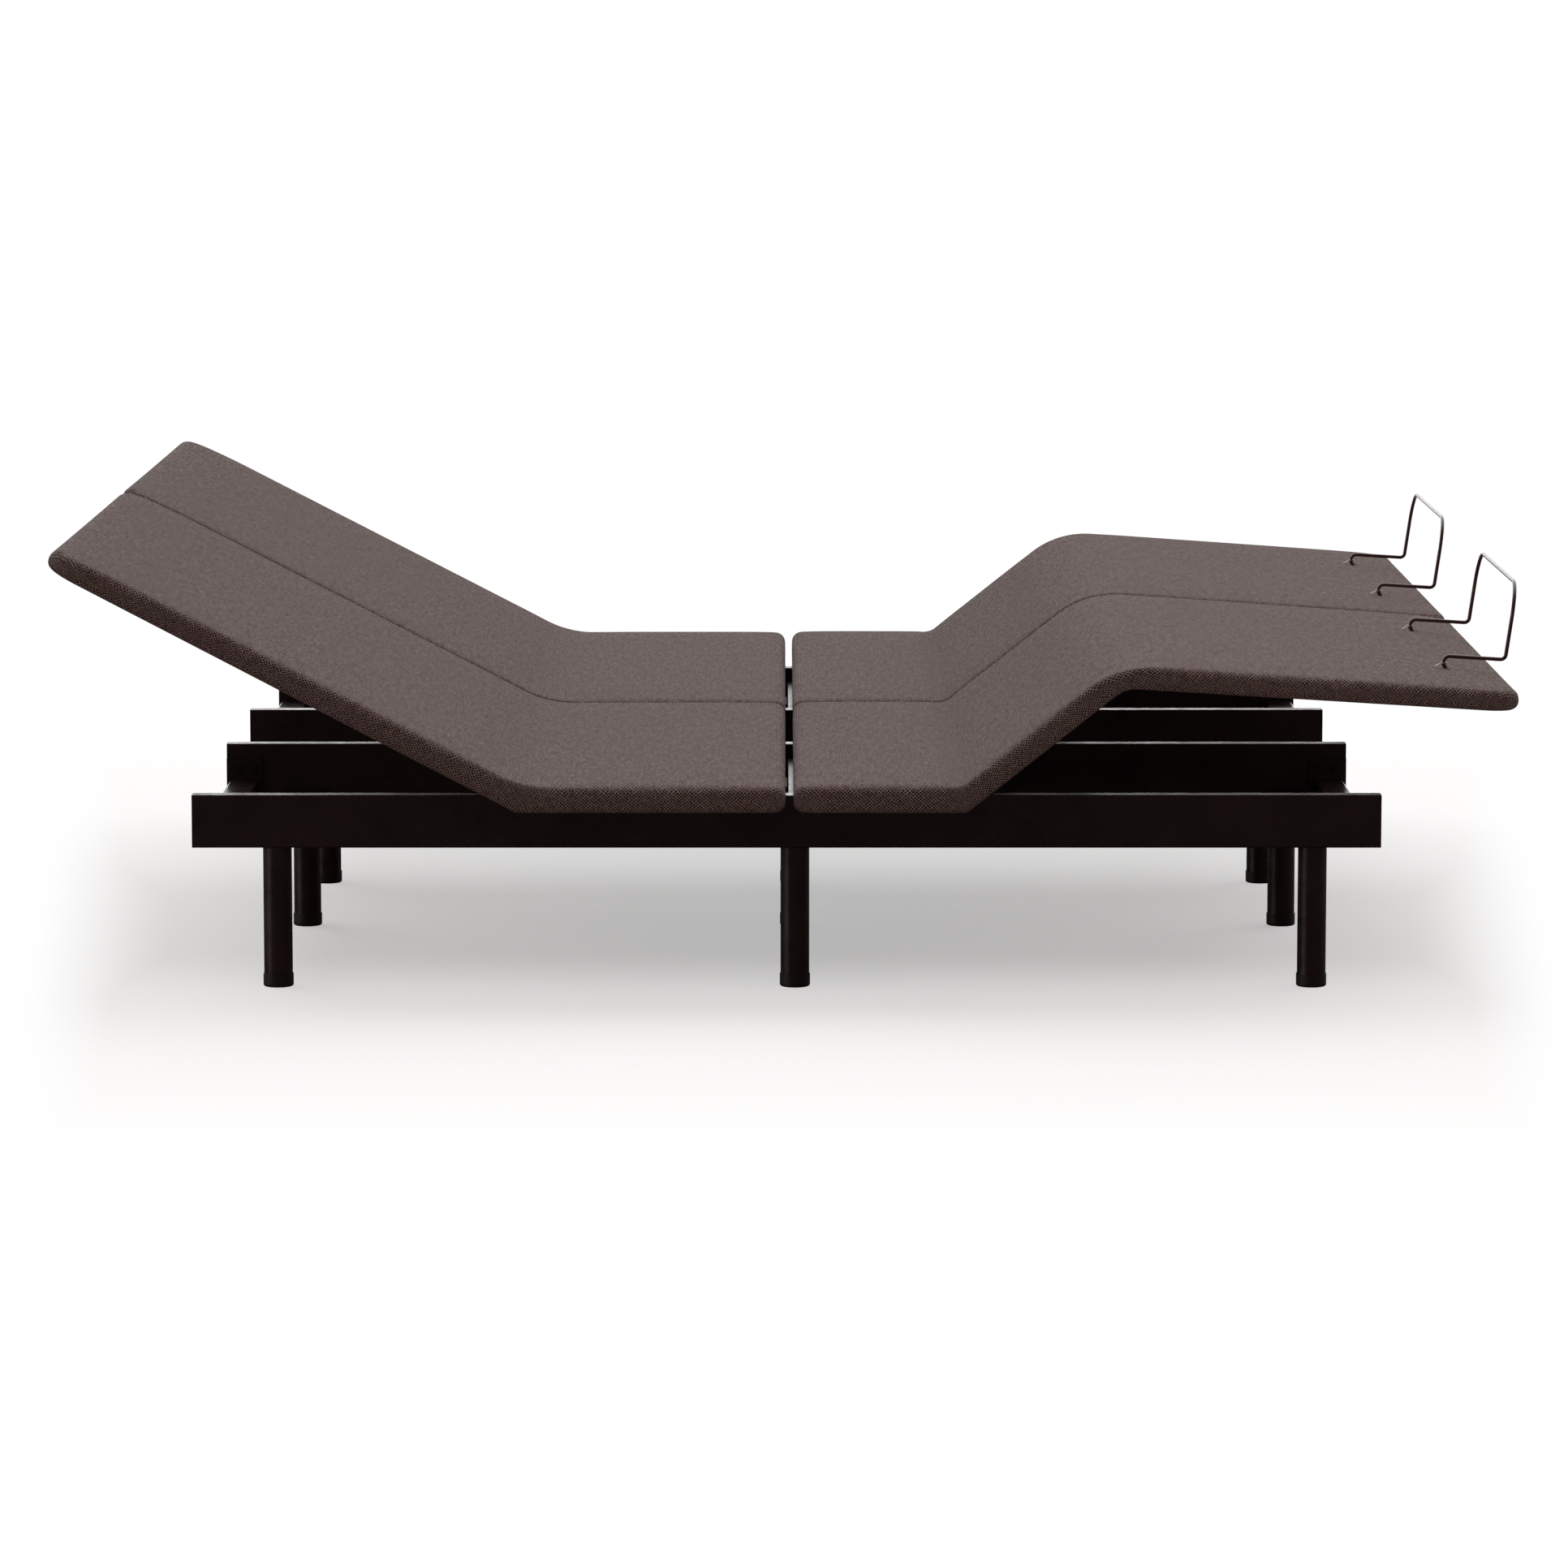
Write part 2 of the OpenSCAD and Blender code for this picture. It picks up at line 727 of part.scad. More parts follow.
// Each section gives its board's ends: fold ends stay inside the leaning face
function fold_board_end(fold, half_angle) = fold + board_t*tan(half_angle) + board_end_gap;
head_board_x0 = fold_board_end(head_fold, head_half_angle);
head_board_x1 = head_len - board_inset;
front_board_x0 = head_hinge_x + head_board_x0;
front_board_x1 = half_head_x - board_inset;
rear_board_x0 = half_foot_x + board_inset;
rear_board_x1 = thigh_hinge_x - fold_board_end(thigh_fold, thigh_half_angle);
thigh_board_x0 = fold_board_end(thigh_fold, thigh_half_angle);
thigh_board_x1 = thigh_len - fold_gap - board_end_gap;
foot_board_x0 = fold_gap + board_end_gap;
foot_board_x1 = foot_len - board_inset;

module head_board() {
    color(plywood) at_head() translate([0, 0, hinge_drop])
        board_shape(head_board_x0, head_board_x1, 0, board_corner, 0);
}

module head_pad() {
    color(fabric) at_head() translate([0, 0, hinge_drop]) difference() {
        pad_shape(head_fold, head_len, front_seat_t, head_tip_t, tan(head_half_angle), 0, 0, outer_corner_r);
        board_shape(head_board_x0, head_board_x1, 0, board_corner, pocket_gap);
    }
}

module board_bolt_holes(xs) {
    both_sides() {
        for (x = xs) {
            translate([x, tab_y, 0]) bolt_hole(bolt_len - tab_t);
        }
    }
}

module front_seat_board() {
    color(plywood) translate([0, 0, deck_z]) difference() {
        board_shape(front_board_x0, front_board_x1, 0, gap_corner, 0);
        board_bolt_holes([tab_xs[0], tab_xs[1]]);
    }
}

module front_seat_pad() {
    color(fabric) translate([0, 0, deck_z]) difference() {
        pad_shape(head_hinge_x + head_fold, half_head_x, front_seat_t, front_seat_t,
            tan(head_half_angle), 0, 0, inner_corner_r);
        board_shape(front_board_x0, front_board_x1, 0, gap_corner, pocket_gap);
    }
}

module rear_seat_board() {
    color(plywood) translate([0, 0, deck_z]) difference() {
        board_shape(rear_board_x0, rear_board_x1, gap_corner, 0, 0);
        board_bolt_holes([tab_xs[2], tab_xs[3]]);
    }
}

module rear_seat_pad() {
    color(fabric) translate([0, 0, deck_z]) difference() {
        pad_shape(half_foot_x, thigh_hinge_x - thigh_fold, rear_seat_t, rear_seat_t,
            0, -tan(thigh_half_angle), inner_corner_r, 0);
        board_shape(rear_board_x0, rear_board_x1, gap_corner, 0, pocket_gap);
    }
}

module thigh_board() {
    color(plywood) at_thigh() translate([0, 0, hinge_drop])
        board_shape(thigh_board_x0, thigh_board_x1, 0, 0, 0);
}

module thigh_pad() {
    color(fabric) at_thigh() translate([0, 0, hinge_drop]) difference() {
        pad_shape(thigh_fold, thigh_len - fold_gap, thigh_t, thigh_t, tan(thigh_half_angle), 0, 0, 0);
        board_shape(thigh_board_x0, thigh_board_x1, 0, 0, pocket_gap);
    }
}

module at_bar_feet() {
    for (k = [-0.5, 0.5]) {
        translate([0, bar_shift + k*bar_span, 0]) children();
    }
}

// Frame of a tail's straight stretch, which runs along +Z, and of the slanted hole for it
module at_tail() {
    translate([tail_x, 0, tail_z]) rotate([0, 180 - tail_angle, 0]) children();
}

module foot_board() {
    color(plywood) at_knee() difference() {
        translate([0, 0, hinge_drop]) board_shape(foot_board_x0, foot_board_x1, 0, board_corner, 0);
        at_bar_feet() at_tail() translate([0, 0, -tail_over])
            cylinder(h = tail_len + 2*tail_over, r = wire_d/2 + tail_gap);
    }
}

module foot_pad() {
    color(fabric) at_knee() difference() {
        translate([0, 0, hinge_drop]) difference() {
            pad_shape(fold_gap, foot_len, foot_t, foot_tip_t, 0, 0, 0, outer_corner_r);
            board_shape(foot_board_x0, foot_board_x1, 0, board_corner, pocket_gap);
        }
        at_bar_feet() at_tail() translate([0, 0, -tail_over])
            cylinder(h = tail_len + 2*tail_over, r = wire_d/2 + tail_pad_gap);
    }
}

// ---------- Lift frames ----------

// Lug plate on the +Y side from the axis at x = 0 towards +X
module lug_shape(reach) {
    difference() {
        union() {
            y_rod(lug_d/2, lug_in, lug_out);
            span([0, lug_in, -lug_d/2], [reach, lug_out, lug_d/2]);
        }
        y_rod(pin_d/2 + running_gap, lug_in - 1, lug_out + 1);
    }
}

// One side arm on the +Y side
module lift_arm(arm_end, knee_x) {
    lug_reach = arm_start + lug_over;
    x_tube([arm_start, lug_in - arm_w, hinge_drop - arm_w], [arm_end, lug_in, hinge_drop]);
    lug_shape(lug_reach);
    if (knee_x > 0) {
        translate([knee_x, 0, 0]) mirror([1, 0, 0]) lug_shape(lug_reach);
    }
}

// Square tube across the bed between the arms, starting at x
module crossbar(x) {
    half = lug_in - arm_w - crossbar_gap;
    y_tube([x, -half, hinge_drop - arm_w], [x + arm_w, half, hinge_drop]);
}

// One slotted lever plate, hanging from the first crossbar. At flat the slot points back past
// the hinge by half of the lift's travel, so that it stands upright at half travel.
module lever_outline(half_angle, bar_x) {
    near_r = lever_drop - slot_spare;
    far_r = lever_drop/cos(half_angle) + slot_spare;
    reach = [-sin(half_angle), -cos(half_angle)];
    side = [cos(half_angle), -sin(half_angle)];
    z0 = hinge_drop - arm_w + tube_wall;
    edge = (lever_end_r - weld_hair)*side;
    slot_edge = (slot_r - weld_hair)*side;
    difference() {
        union() {
            polygon([[bar_x + tube_r, z0], [bar_x + arm_w - tube_r, z0], near_r*reach + edge,
                     far_r*reach + edge, far_r*reach - edge, near_r*reach - edge]);
            translate(far_r*reach) circle(lever_end_r);
        }
        translate(near_r*reach) circle(slot_r);
        translate(far_r*reach) circle(slot_r);
        polygon([near_r*reach + slot_edge, far_r*reach + slot_edge,
                 far_r*reach - slot_edge, near_r*reach - slot_edge]);
    }
}

module lift_frame(arm_end, half_angle, knee_x, second_bar_x) {
    first_bar_x = arm_start + first_bar_in;
    both_sides() lift_arm(arm_end, knee_x);
    crossbar(second_bar_x);
    crossbar(first_bar_x);
    both_sides() y_plate(lever_half_gap, lever_half_gap + lever_t) lever_outline(half_angle, first_bar_x);
}

module head_lift_frame() {
    color(steel_dark) at_head()
        lift_frame(head_frame_len, head_half_angle, 0, head_frame_len - arm_w);
}

module thigh_lift_frame() {
    color(steel_dark) at_thigh()
        lift_frame(thigh_len - arm_start, thigh_half_angle, thigh_len, thigh_len - arm_start - arm_w - thigh_bar_in);
}

// ---------- Foot section hardware ----------

// Bracket on the +Y side: flange under the board and ear with the knee's stud. The inner
// bracket's ear also reaches down to the link, with a stud for it.
module foot_bracket_shape(inner) {
    ear_in = ear_out - ear_t;
    bracket_l = 112;
    flange_in = ear_in - 16;
    plate_t = 4;
    lobe_r = 11;
    stud_out = lug_out + stud_over;
    y_plate(ear_in, ear_out) union() {
        circle(lug_d/2);
        translate([0, -lug_d/2]) square([bracket_l, lug_d]);
        if (inner) {
            polygon([[lug_d, -lug_d/2 + 1], [bracket_l, -lug_d/2 + 1],
                     [link_foot_x + lobe_r, -link_foot_drop], [link_foot_x - lobe_r, -link_foot_drop]]);
            translate([link_foot_x, -link_foot_drop]) circle(lobe_r);
        }
    }
    span([arm_start, flange_in, hinge_drop - plate_t], [bracket_l, ear_out, hinge_drop]);
    y_rod(pin_d/2, ear_out - weld_over, stud_out);
    if (inner) {
        translate([link_foot_x, 0, -link_foot_drop]) y_rod(link_stud_d/2, ear_out - weld_over, stud_out);
    }
}

module foot_brackets(side) {
    color(steel_dark) at_knee() {
        on_inner_side(side) {
            foot_bracket_shape(true);
            mirror([0, 1, 0]) foot_bracket_shape(false);
        }
    }
}

// The link's two pivots at rest, seen from the thigh hinge
link_dx = thigh_len*cos(thigh_angle) + link_foot_x*cos(thigh_angle - knee_angle)
    + link_foot_drop*sin(thigh_angle - knee_angle) - link_frame_x;
link_dz = thigh_len*sin(thigh_angle) + link_foot_x*sin(thigh_angle - knee_angle)
    - link_foot_drop*cos(thigh_angle - knee_angle) + link_frame_drop;
link_len = sqrt(link_dx*link_dx + link_dz*link_dz);

module foot_link_bar(side) {
    color(steel_dark) translate([link_pin_x, 0, link_pin_z]) rotate([0, -atan2(link_dz, link_dx), 0])
        on_inner_side(side) difference() {
            union() {
                y_rod(link_w/2, lug_in, lug_out);
                translate([link_len, 0, 0]) y_rod(link_w/2, lug_in, lug_out);
                span([0, lug_in, -link_w/2], [link_len, lug_out, link_w/2]);
            }
            y_rod(pin_d/2 + running_gap, lug_in - 1, lug_out + 1);
            translate([link_len, 0, 0]) y_rod(link_stud_d/2 + link_open_gap, lug_in - 1, lug_out + 1);
        }
}

// ---------- Lift actuators ----------

// Actuator along +X from its flange face at x = 0, on the drive line z = 0. tube_end is where
// its tube stops and bore_depth is how deep the rod's bore runs in from there.
module actuator_shape(tube_end, bore_depth, flange_low, flange_high, bolt_z) {
    edge = 8;
    bore_r = rod_d/2 + running_gap;
    difference() {
        union() {
            span([0, -flange_w/2, flange_low], [flange_t, flange_w/2, flange_high]);
            translate([flange_t, 0, 0]) rotate([90, 0, 90]) linear_extrude(gear_len) difference() {
                square([gear_w, gear_h], center = true);
                for (a = [0, 1], b = [0, 1]) {
                    mirror([a, 0]) mirror([0, b]) translate([gear_w/2, gear_h/2]) corner_cut(edge);
                }
            }
            x_rod(actuator_tube_d/2, flange_t, tube_end);
            translate([0, (actuator_tube_d + motor_d)/2 - 2, 0])
                x_rod(motor_d/2, flange_t + gear_len/2, flange_t + gear_len/2 + motor_len);
        }
        x_rod(bore_r, tube_end - bore_depth, tube_end + 1);
        for (y = [-flange_bolt_y, flange_bolt_y]) {
            translate([0, y, bolt_z]) x_rod(bolt_d/2 + bolt_gap, -1, flange_t + 1);
        }
    }
}

// Rod from its inner end at x0 to the eye at x = 0, with the drive pin through the lever's slots
module rod_shape(x0) {
    pin_over = 2;
    pin_end = lever_half_gap + lever_t + pin_over;
    neck = 14;
    x_rod(rod_d/2, x0, -neck);
    span([-neck - 1, -eye_half_w, -rod_eye_d/2 + 2], [0, eye_half_w, rod_eye_d/2 - 2]);
    y_rod(rod_eye_d/2, -eye_half_w, eye_half_w);
    y_rod(drive_pin_d/2, -pin_end, pin_end);
}

head_flange_x = mid_tube_x - mid_tube_w/2;
foot_flange_x = foot_tube_x - end_tube_w/2;
flange_drop = 26;
rod_end_gap = 5;

module head_actuator() {
    tube_end = head_flange_x - head_tube_front;
    bore = rod_grip + head_drive_near - head_drive_far + rod_end_gap;
    color(plastic_black) translate([head_flange_x, 0, drive_z]) mirror([1, 0, 0])
        actuator_shape(tube_end, bore, -flange_drop, mid_tube_z + mid_tube_h - drive_z, mid_bolt_z - drive_z);
}

module head_actuator_rod() {
    inner_x = head_tube_front + rod_grip + head_drive_x - head_drive_far;
    color(zinc) translate([head_drive_x, 0, drive_z]) mirror([1, 0, 0])
        rod_shape(head_drive_x - inner_x);
}

module leg_actuator() {
    tube_end = foot_flange_x - leg_tube_front;
    bore = rod_grip + leg_drive_near - leg_drive_far + rod_end_gap;
    color(plastic_black) translate([foot_flange_x, 0, drive_z]) mirror([1, 0, 0])
        actuator_shape(tube_end, bore, -flange_drop, leg_h + end_tube_h - drive_z, leg_h + end_tube_h/2 - drive_z);
}

module leg_actuator_rod() {
    inner_x = leg_tube_front + rod_grip + leg_drive_x - leg_drive_far;
    color(zinc) translate([leg_drive_x, 0, drive_z]) mirror([1, 0, 0])
        rod_shape(leg_drive_x - inner_x);
}

// ---------- Retainer bar ----------

// A bend in the XZ plane: it starts at the origin along +Z and turns towards +X by the angle
module bend(r, angle) {
    translate([r, 0, 0]) rotate([90, 0, 180])
        rotate_extrude(angle = angle) translate([r, 0]) circle(d = wire_d);
}

// A straight stretch. It is a hair thicker than the bends and runs over their ends, so that the
// whole bar is one solid.
module wire(length) {
    translate([0, 0, -wire_over]) cylinder(h = length + 2*wire_over, r = wire_d/2 + weld_hair);
}

// One side of the bar, at y = 0: tail, foot, lower wire and upright, with the top bend towards -Y
module bar_side() {
    rise = 90 - bar_lean;
    low_end = bar_loop_x - bar_bend_r*tan(rise/2);
    loop_x = low_end + bar_bend_r*sin(rise);
    loop_z = bar_low_z + bar_bend_r*(1 - cos(rise));
    upright = (bar_top_z - loop_z)/cos(bar_lean) - bar_top_bend_r;
    at_tail() wire(tail_len);
    translate([bar_foot_x, 0, tail_bend_z]) rotate([180, 0, 0]) bend(tail_bend_r, tail_angle);
    translate([bar_foot_x, 0, tail_bend_z]) wire(clip_ring_h);
    translate([bar_foot_x, 0, bar_low_z - bar_foot_bend_r]) bend(bar_foot_bend_r, 90);
    translate([bar_foot_x + bar_foot_bend_r, 0, bar_low_z]) rotate([0, 90, 0])
        wire(low_end - bar_foot_x - bar_foot_bend_r);
    translate([low_end, 0, bar_low_z]) rotate([0, 90, 0]) rotate([0, 0, 180]) bend(bar_bend_r, rise);
    translate([loop_x, 0, loop_z]) rotate([0, bar_lean, 0]) {
        wire(upright);
        translate([0, 0, upright]) rotate([0, 0, -90]) bend(bar_top_bend_r, 90);
    }
}

module retainer_bar() {
    top_x = bar_loop_x + (bar_top_z - bar_low_z)*tan(bar_lean);
    top_len = bar_span - 2*bar_top_bend_r;
    color(bronze) at_knee() translate([0, bar_shift, 0]) {
        both_sides() translate([0, bar_span/2, 0]) bar_side();
        translate([top_x, top_len/2, bar_top_z]) rotate([90, 0, 0]) wire(top_len);
    }
}

// Ring round the bar's foot with two claws that spread along the bed onto the cover
module clip_shape() {
    ring_r = wire_d/2 + clip_ring_wall;
    claw_top = tail_bend_z + clip_ring_h - claw_t/2;
    claw_low = foot_top_at_bar + pocket_gap + claw_t;
    slope = atan2(claw_top - claw_low, clip_reach);
    difference() {
        union() {
            translate([0, 0, tail_bend_z]) cylinder(h = clip_ring_h, r = ring_r);
            for (k = [0, 1]) {
                mirror([k, 0, 0]) translate([0, 0, claw_top]) rotate([0, slope, 0])
                    span([0, -claw_w/2, -claw_t/2], [clip_reach/cos(slope), claw_w/2, claw_t/2]);
            }
        }
        cylinder(h = bar_low_z, r = wire_d/2 + clip_gap);
    }
}

module retainer_clips() {
    color(zinc) at_knee() at_bar_feet() translate([bar_foot_x, 0, 0]) clip_shape();
}

// ---------- Control box ----------

module control_box() {
    x0 = (front_board_x0 + front_board_x1)/2 - box_l/2;
    y0 = 80;
    inlet_w = 26;
    inlet_h = 18;
    edge = 5;
    color(plastic_black) translate([x0, y0, deck_z - box_h]) difference() {
        linear_extrude(box_h) difference() {
            square([box_l, box_w]);
            translate([box_l, box_w]) corner_cut(edge);
            translate([box_l, 0]) mirror([0, 1]) corner_cut(edge);
            translate([0, box_w]) mirror([1, 0]) corner_cut(edge);
            translate([0, 0]) rotate(180) corner_cut(edge);
        }
        span([-1, (box_w - inlet_w)/2, (box_h - inlet_h)/2],
             [inlet_depth, (box_w + inlet_w)/2, (box_h + inlet_h)/2]);
    }
}

// ---------- All nodes ----------

for (side = SIDES) {
    unit(side) outer_rail(side);
    unit(side) inner_rail(side);
    unit(side) head_cross_tube();
    unit(side) middle_cross_tube();
    unit(side) foot_cross_tube();
    unit(side) legs();
    unit(side) leg_glides();
    unit(side) hinge_pins(side);
    unit(side) frame_bolts();
    unit(side) control_box();
    unit(side) front_seat_board();
    unit(side) rear_seat_board();
    unit(side) front_seat_pad();
    unit(side) rear_seat_pad();
    unit(side) head_board();
    unit(side) head_pad();
    unit(side) head_lift_frame();
    unit(side) head_actuator();
    unit(side) head_actuator_rod();
    unit(side) thigh_board();
    unit(side) thigh_pad();
    unit(side) thigh_lift_frame();
    unit(side) leg_actuator();
    unit(side) leg_actuator_rod();
    unit(side) foot_board();
    unit(side) foot_pad();
    unit(side) foot_brackets(side);
    unit(side) foot_link_bar(side);
    unit(side) retainer_bar();
    unit(side) retainer_clips();
}
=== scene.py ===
"""Looks of a split pair of adjustable bed bases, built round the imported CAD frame.

All lengths are in metres. +X points to the foot end, +Y to the left unit, +Z up.
"""
import json
import math

import bmesh
import bpy
import numpy as np
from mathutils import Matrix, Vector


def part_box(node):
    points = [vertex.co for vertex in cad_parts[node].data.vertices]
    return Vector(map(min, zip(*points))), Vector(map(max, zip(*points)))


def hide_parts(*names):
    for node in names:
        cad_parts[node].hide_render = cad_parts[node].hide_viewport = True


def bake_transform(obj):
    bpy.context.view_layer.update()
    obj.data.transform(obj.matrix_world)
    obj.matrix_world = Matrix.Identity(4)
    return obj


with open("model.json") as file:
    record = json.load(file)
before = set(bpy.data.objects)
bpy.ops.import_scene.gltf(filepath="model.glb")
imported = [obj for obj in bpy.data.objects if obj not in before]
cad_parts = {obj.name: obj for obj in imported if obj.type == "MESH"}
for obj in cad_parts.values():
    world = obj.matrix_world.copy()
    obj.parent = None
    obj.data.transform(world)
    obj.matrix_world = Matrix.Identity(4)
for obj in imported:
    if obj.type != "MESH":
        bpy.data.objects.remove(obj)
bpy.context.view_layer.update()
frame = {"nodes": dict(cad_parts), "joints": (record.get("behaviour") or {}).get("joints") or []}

MM = 0.001
SIDES = ("right", "left")
JOINTS = {joint["name"]: joint for joint in frame["joints"]}

# ---------- Upholstery sizes ----------

# Plan: corner radii at the deck's ends and at the middle gap, the least radius where an inset
# makes them smaller, and how far a tip's nose reaches past its pad
OUTER_CORNER_R = 48 * MM
INNER_CORNER_R = 20 * MM
LEAST_CORNER_R = 2 * MM
NOSE = 4 * MM

# Section: radii of the edges along the sides and at the ends
SIDE_TOP_R = 8 * MM
SIDE_BOTTOM_R = 8 * MM
END_TOP_R = 13.5 * MM
END_BOTTOM_R = 10.5 * MM

# Thickness from the boards' underside to the top, at the tips and along the thigh section, before
# what falls away below, and how far the change from the seat's thickness to the thigh's reaches
# on each side of the hinge
HEAD_TIP_T = 31 * MM
THIGH_T = 32 * MM
FOOT_TIP_T = 27.5 * MM
THIGH_CHANGE = 25 * MM

# How the top falls away: over the head's last stretch, and all round towards the edges
TIP_ZONE = 120 * MM
HEAD_TIP_DROP = 3 * MM
DROOP_ZONE = 110 * MM
EDGE_DROOP = 1.5 * MM

# Underside: how far the hinges lie below the boards' underside, the hem's width and how far it
# stands under the boards, and the height of the closing face, which is hidden in the boards
HINGE_DROP = 10 * MM
HEM_W = 34 * MM
HEM_T = 0.3 * MM
POCKET_H = 5 * MM

# Each fold: how far its finer cells reach, the underside's radius as the cover drapes over the
# fold and as it lies under the boards, and how far before and after the hinge the cloth turns
# from one body to the next
HEAD_FOLD = {"zone": 60 * MM, "drape_r": 190 * MM, "board_r": 25 * MM, "blend": 60 * MM}
THIGH_FOLD = {"zone": 34 * MM, "drape_r": 70 * MM, "board_r": 10 * MM, "blend": 42 * MM}
KNEE_FOLD = {"zone": 44 * MM, "drape_r": 103 * MM, "board_r": 12 * MM, "blend": 50 * MM}

# Mesh: cell sizes, steps round half a corner, round an edge and down a side, places across the
# hem as shares of its width, and the rounding allowed where a row of cells ends
CELL = 12 * MM
FOLD_CELL = 4 * MM
CORNER_STEPS = 4
ARC_STEPS = 6
SIDE_STEPS = 5
HEM_STEPS = (0.12, 0.5, 0.94, 1.0)
ROUNDING = 1e-9

# Thickness by which the weave's run down the edges is measured
WEAVE_EDGE_T = 37 * MM

# Cloth simulation: its frames and settings, and how far it may move a point outwards and up. A
# cover starts SWELL_OUT inside its pads at the sides and the middle gap, and SWELL_ROOM thinner.
SIM_FRAMES = 8
CLOTH_SETTINGS = {
    "quality": 5, "mass": 0.3, "tension_stiffness": 15, "compression_stiffness": 15,
    "shear_stiffness": 5, "bending_stiffness": 0.5, "use_pressure": True,
    "uniform_pressure_force": 0.4,
}
SWELL_OUT = 0.8 * MM
SWELL_UP = 2.4 * MM
SWELL_ROOM = 2 * MM

# ---------- What the frame says ----------


def coordinates(mesh):
    """The mesh's points as an array."""
    points = np.zeros(len(mesh.vertices) * 3)
    mesh.vertices.foreach_get("co", points)
    return points.reshape(-1, 3)


def reach(name, origin, direction):
    """How far a CAD node goes from the origin along a direction in the XZ plane."""
    points = coordinates(frame["nodes"][name].data)[:, [0, 2]]
    return float(((points - origin) @ direction).max())


def hinge_of(side, joint):
    """XZ place of a hinge, and how far its section is turned at rest, in radians."""
    found = JOINTS[f"{side}_{joint}"]
    x, _, z = found["pos_m"]
    return np.array([x, z]), -math.radians(found["range_deg"][0])


# ---------- Halves of the deck ----------


def smooth(t):
    """0 up to t = 0, 1 from t = 1, and an S-curve between."""
    t = np.clip(t, 0.0, 1.0)
    return t * t * (3 - 2 * t)


class Half:
    """One half of a unit's deck in its flat coordinates: s runs outwards from the middle gap,
    y across the unit from its middle, and h up from the boards' underside. The folds turn it
    up or down one after another."""

    def __init__(self, side, outward, length, folds, thickness_knots, tip_drop=0.0):
        low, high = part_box(f"{side}_front_seat_pad")
        width = high.y - low.y - 2 * SWELL_OUT
        self.outward = outward
        self.length = length
        self.folds = folds
        self.thickness_knots = thickness_knots
        self.tip_drop = tip_drop
        self.y_middle = (low.y + high.y) / 2
        self.half_width = width / 2
        self.cells_across = round(width / CELL)
        self.stations = self.places(INNER_CORNER_R, length - OUTER_CORNER_R) - INNER_CORNER_R

    def places(self, s0, s1):
        """Places along s from s0 to s1, closer together in the folds."""
        found = [s0]
        while found[-1] < s1 - ROUNDING:
            folded = any(abs(found[-1] - fold["s"]) < fold["zone"] + CELL for fold in self.folds)
            found.append(found[-1] + (FOLD_CELL if folded else CELL))
        found = np.array(found)
        return s0 + (found - s0) * (s1 - s0) / (found[-1] - s0)

    def thickness(self, s):
        """Height of the top above the boards' underside, away from the long sides."""
        at, value = zip(*self.thickness_knots)
        near_tip = np.clip(1 - (self.length - s) / TIP_ZONE, 0, 1)
        return np.interp(s, at, value) - self.tip_drop * near_tip ** 2

    def droop(self, flat):
        """How far the foam's top sinks towards the edges, where the cover pulls it down."""
        s, y = flat[:, 0], flat[:, 1]
        near = np.minimum.reduce([s, self.length - s, self.half_width - np.abs(y)])
        return EDGE_DROOP * (1 - smooth((near - SIDE_TOP_R) / DROOP_ZONE))

    def bent(self, s, h, radius_key):
        """XZ places of flat points. radius_key picks the folds' draped or board radius."""
        direction = np.array([self.outward, 0.0])
        normal = np.array([0.0, 1.0])
        hinge = self.folds[0]["hinge"]
        offset = s - self.folds[0]["s"]
        out = hinge + offset[:, None] * direction + (HINGE_DROP + h)[:, None] * normal
        for fold in self.folds:
            # The bend goes round a centre above or below the place half_zone before the hinge
            turn = fold["turn"]
            rho = math.copysign(fold[radius_key], turn)
            half_zone = abs(HINGE_DROP + rho) * math.tan(abs(turn) / 2)
            hinge = fold["hinge"]
            centre = hinge - half_zone * direction + (HINGE_DROP + rho) * normal
            offset = s - fold["s"]
            alpha = turn * np.clip((offset + half_zone) / (2 * half_zone), 0, 1)
            turned = np.cos(alpha)[:, None] * normal - np.sin(alpha)[:, None] * direction
            arc = centre + (h - rho)[:, None] * turned
            past = np.maximum(offset - half_zone, 0)[:, None]
            end_direction = math.cos(turn) * direction + math.sin(turn) * normal
            end_normal = math.cos(turn) * normal - math.sin(turn) * direction
            use = (offset > -half_zone)[:, None]
            out = np.where(use, arc + past * end_direction, out)
            direction, normal = end_direction, end_normal
        return out


def head_half(side):
    """From the middle gap over the front seat to the head section's tip."""
    hinge, turn = hinge_of(side, "head_tilt")
    low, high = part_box(f"{side}_front_seat_pad")
    s_hinge = high.x - SWELL_OUT - hinge[0]
    far = np.array([-math.cos(turn), math.sin(turn)])
    length = s_hinge + reach(f"{side}_head_pad", hinge, far) + NOSE
    seat_t = high.z - low.z - SWELL_ROOM
    folds = [{"hinge": hinge, "s": s_hinge, "turn": turn, **HEAD_FOLD}]
    knots = [(0, seat_t), (s_hinge, seat_t), (length, HEAD_TIP_T)]
    return Half(side, -1.0, length, folds, knots, HEAD_TIP_DROP)


